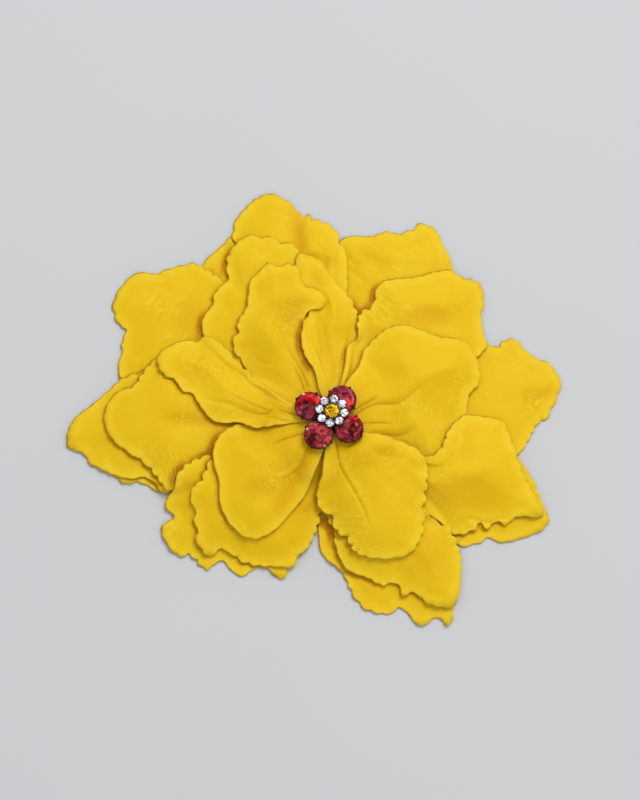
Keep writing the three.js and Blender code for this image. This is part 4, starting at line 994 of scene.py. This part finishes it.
# Each red stone's hue round its crown and in its middle; its lighter and darker sides are partly
# painted reflection.
RED_STONES = {
    "red_stone_1": shades((130, PLUM), (40, PLUM), (315, SCARLET), (250, PLUM), PLUM),
    "red_stone_2": shades(
        (140, CRIMSON), (60, CRIMSON), (30, SCARLET), (250, PLUM), (310, PLUM), DEEP_CRIMSON
    ),
    "red_stone_3": shades((120, ROSE), (30, ROSE), (320, ROSE), (240, DEEP_CRIMSON), PLUM),
    "red_stone_4": shades(
        (140, ROSE), (80, CRIMSON), (20, CRIMSON), (220, PLUM), (300, DEEP_CRIMSON), DEEP_CRIMSON
    ),
}
CLEAR_STONES = [f"clear_stone_{i}" for i in range(1, 9)]

facet_chance = np.random.default_rng(3)
for stone, tints_and_reflections in RED_STONES.items():
    cut_stone(stone, 8, tints_and_reflections, facet_chance, "red_glass")
for stone in CLEAR_STONES:
    cut_stone(stone, 6, clear_shades, facet_chance, "clear_glass", width=1.1)
cut_stone("yellow_stone", 8, amber_shades, facet_chance, "yellow_glass")

# ---- The settings ----

POST_MIDDLE = Vector((-0.15, -0.25, 0))  # as in the part's source
POST_RADIUS = 0.9
PLATE_RADIUS = 4.5
PLATE_THICKNESS = 0.6
CUP_FOOT = 0.62  # of the stone's radius
CLUSTER_DEPTH = 1.15
CLUSTER_TURN = math.radians(36)
ROUND_STEPS = 48


def bearing(start, end):
    return math.atan2(end.y - start.y, end.x - start.x)


def turned(shape, outline, middle, steps=ROUND_STEPS):
    """Adds an upright round solid, given by the radius and height of its outline's corners."""
    corners = [shape.verts.new((middle.x + radius, middle.y, z)) for radius, z in outline]
    line = [shape.edges.new(pair) for pair in zip(corners, corners[1:])]
    bmesh.ops.spin(
        shape, geom=corners + line, cent=(middle.x, middle.y, 0), axis=(0, 0, 1),
        angle=2 * math.pi, steps=steps, use_merge=True,
    )


def prong(shape, middle, radius, angle, foot, girdle, thickness):
    """A claw that stands in the cup's wall and bends in over the stone's edge."""
    lean = Vector((math.cos(angle), math.sin(angle), 0))
    base = Vector((middle.x, middle.y, 0))
    # From the foot up: how far out in thicknesses, the height, and the share of the thickness.
    line = [
        (1, foot, 1.0), (1, girdle - 0.1, 1.0), (0.95, girdle + 0.35, 0.95),
        (0.55, girdle + 0.72, 0.9), (-0.1, girdle + 0.84, 0.8), (-0.75, girdle + 0.74, 0.55),
    ]
    ends = [lean * (radius + out * thickness) + base + Vector((0, 0, z)) for out, z, _ in line]
    for i, (start, end) in enumerate(zip(ends, ends[1:])):
        direction = end - start
        turn = direction.to_track_quat("Z", "Y").to_matrix().to_4x4()
        radii = thickness * line[i][2], thickness * line[i + 1][2]
        bmesh.ops.create_cone(
            shape, cap_ends=True, segments=12, radius1=radii[0], radius2=radii[1],
            depth=direction.length, matrix=Matrix.Translation((start + end) / 2) @ turn,
        )
        bmesh.ops.create_icosphere(
            shape, subdivisions=2, radius=radii[1], matrix=Matrix.Translation(end)
        )


def add_metal(name, shape, node, sharp_angle=0.6):
    """Closes the shape's seams, smooths its faces up to the sharp edges, and adds it."""
    bmesh.ops.remove_doubles(shape, verts=shape.verts, dist=1e-4)
    bmesh.ops.recalc_face_normals(shape, faces=shape.faces)
    for face in shape.faces:
        face.smooth = True
    for edge in shape.edges:
        edge.smooth = edge.calc_face_angle(0) < sharp_angle
    add_piece(name, shape, "dark_metal", node)


def red_mount_piece():
    shape = bmesh.new()
    seat, plate = SEAT_HEIGHT, SEAT_HEIGHT + PLATE_THICKNESS
    disc = [(0, seat), (PLATE_RADIUS, seat), (PLATE_RADIUS, plate), (0, plate)]
    turned(shape, disc, Vector((0, 0, 0)))
    for stone in RED_STONES:
        middle, girdle, radius = stone_place(stone)
        inner, outer, foot = radius + 0.03, radius + 0.16, CUP_FOOT * radius
        cup = [
            (0, seat), (foot + 0.2, seat), (outer, girdle - 0.6), (outer, girdle - 0.2),
            (inner, girdle - 0.15), (inner, girdle - 0.4), (foot, plate), (0, plate),
        ]
        turned(shape, cup, middle)
        for k in range(4):
            angle = bearing(POST_MIDDLE, middle) + k * math.pi / 2
            prong(shape, middle, radius, angle, girdle - 1.2, girdle, 0.24)
    add_metal("red_stone_settings", shape, "red_stone_mount")


def cluster_mount_piece():
    shape = bmesh.new()
    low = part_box("cluster_mount")[0].z / MM
    yellow, top, yellow_radius = stone_place("yellow_stone")
    foot = top - CLUSTER_DEPTH
    post = [(0, low), (POST_RADIUS, low), (POST_RADIUS, foot + 0.2), (0, foot + 0.2)]
    turned(shape, post, POST_MIDDLE, ROUND_STEPS // 2)
    bowl = [
        (0, foot), (3.3, foot), (3.3, top - 0.35), (2.5, top - 0.35), (2.5, top + 0.12),
        (2.05, top + 0.18), (2.02, top - 0.2), (1.1, top - 0.95), (0, top - 0.95),
    ]
    turned(shape, bowl, yellow)
    for k in range(8):
        angle = 2 * math.pi * (k + 0.5) / 8 + CLUSTER_TURN
        prong(shape, yellow, yellow_radius - 0.05, angle, top - 0.5, top - 0.35, 0.17)
    for stone in CLEAR_STONES:
        middle, _, radius = stone_place(stone)
        pocket = [
            (0, foot), (radius + 0.3, foot), (radius + 0.3, top - 0.4), (radius + 0.24, top - 0.3),
            (radius + 0.12, top - 0.3), (radius, top - 0.45), (0.45, top - 0.6), (0, top - 0.6),
        ]
        turned(shape, pocket, middle, 32)
        for k in range(4):
            angle = bearing(yellow, middle) + (k + 0.5) * math.pi / 2
            prong(shape, middle, radius - 0.02, angle, top - 0.5, top - 0.5, 0.15)
    add_metal("cluster_settings", shape, "cluster_mount")


red_mount_piece()
cluster_mount_piece()

# ---- Floor, light and camera ----

shape = bmesh.new()
bmesh.ops.create_grid(shape, x_segments=1, y_segments=1, size=1.5)
as_object("pale_floor", shape, pale_floor())

world = bpy.data.worlds.new("studio")
world.use_nodes = True
sky = world.node_tree.nodes["Background"]
sky.inputs["Color"].default_value = (0.95, 0.97, 1.0, 1)
sky.inputs["Strength"].default_value = 0.72
scene.world = world


def stand(name, data, place, facing):
    thing = bpy.data.objects.new(name, data)
    thing.location = place
    thing.rotation_euler = facing.to_track_quat("-Z", "Y").to_euler()
    scene.collection.objects.link(thing)
    return thing


LAMP_AZIMUTH, LAMP_ELEVATION, LAMP_DISTANCE = math.radians(60), math.radians(58), 1.3
window = bpy.data.lights.new("window", "AREA")
window.shape = "DISK"
window.size = 0.65
window.energy = 8
lamp_turn = Euler((0, -LAMP_ELEVATION, LAMP_AZIMUTH)).to_matrix()
lamp_place = lamp_turn @ Vector((LAMP_DISTANCE, 0, 0))
stand("window", window, lamp_place, -lamp_place)

# The image's middle looks at this point; the camera stands 75 degrees above the horizon.
AIM = Vector((-2.78, 4.385, 12.675)) * MM
CAMERA_ELEVATION = math.radians(75)
CAMERA_DISTANCE = 1.2
VIEW_HEIGHT = 0.2162
SENSOR_WIDTH = 36
back = Vector((0, -math.cos(CAMERA_ELEVATION), math.sin(CAMERA_ELEVATION)))
camera_data = bpy.data.cameras.new("camera")
camera_data.sensor_width = SENSOR_WIDTH
camera_data.lens = SENSOR_WIDTH * CAMERA_DISTANCE / VIEW_HEIGHT
camera_data.clip_start, camera_data.clip_end = 0.05, 10
scene.camera = stand("camera", camera_data, AIM + back * CAMERA_DISTANCE, -back)
scene.view_settings.view_transform = "Standard"

bpy.context.view_layer.update()
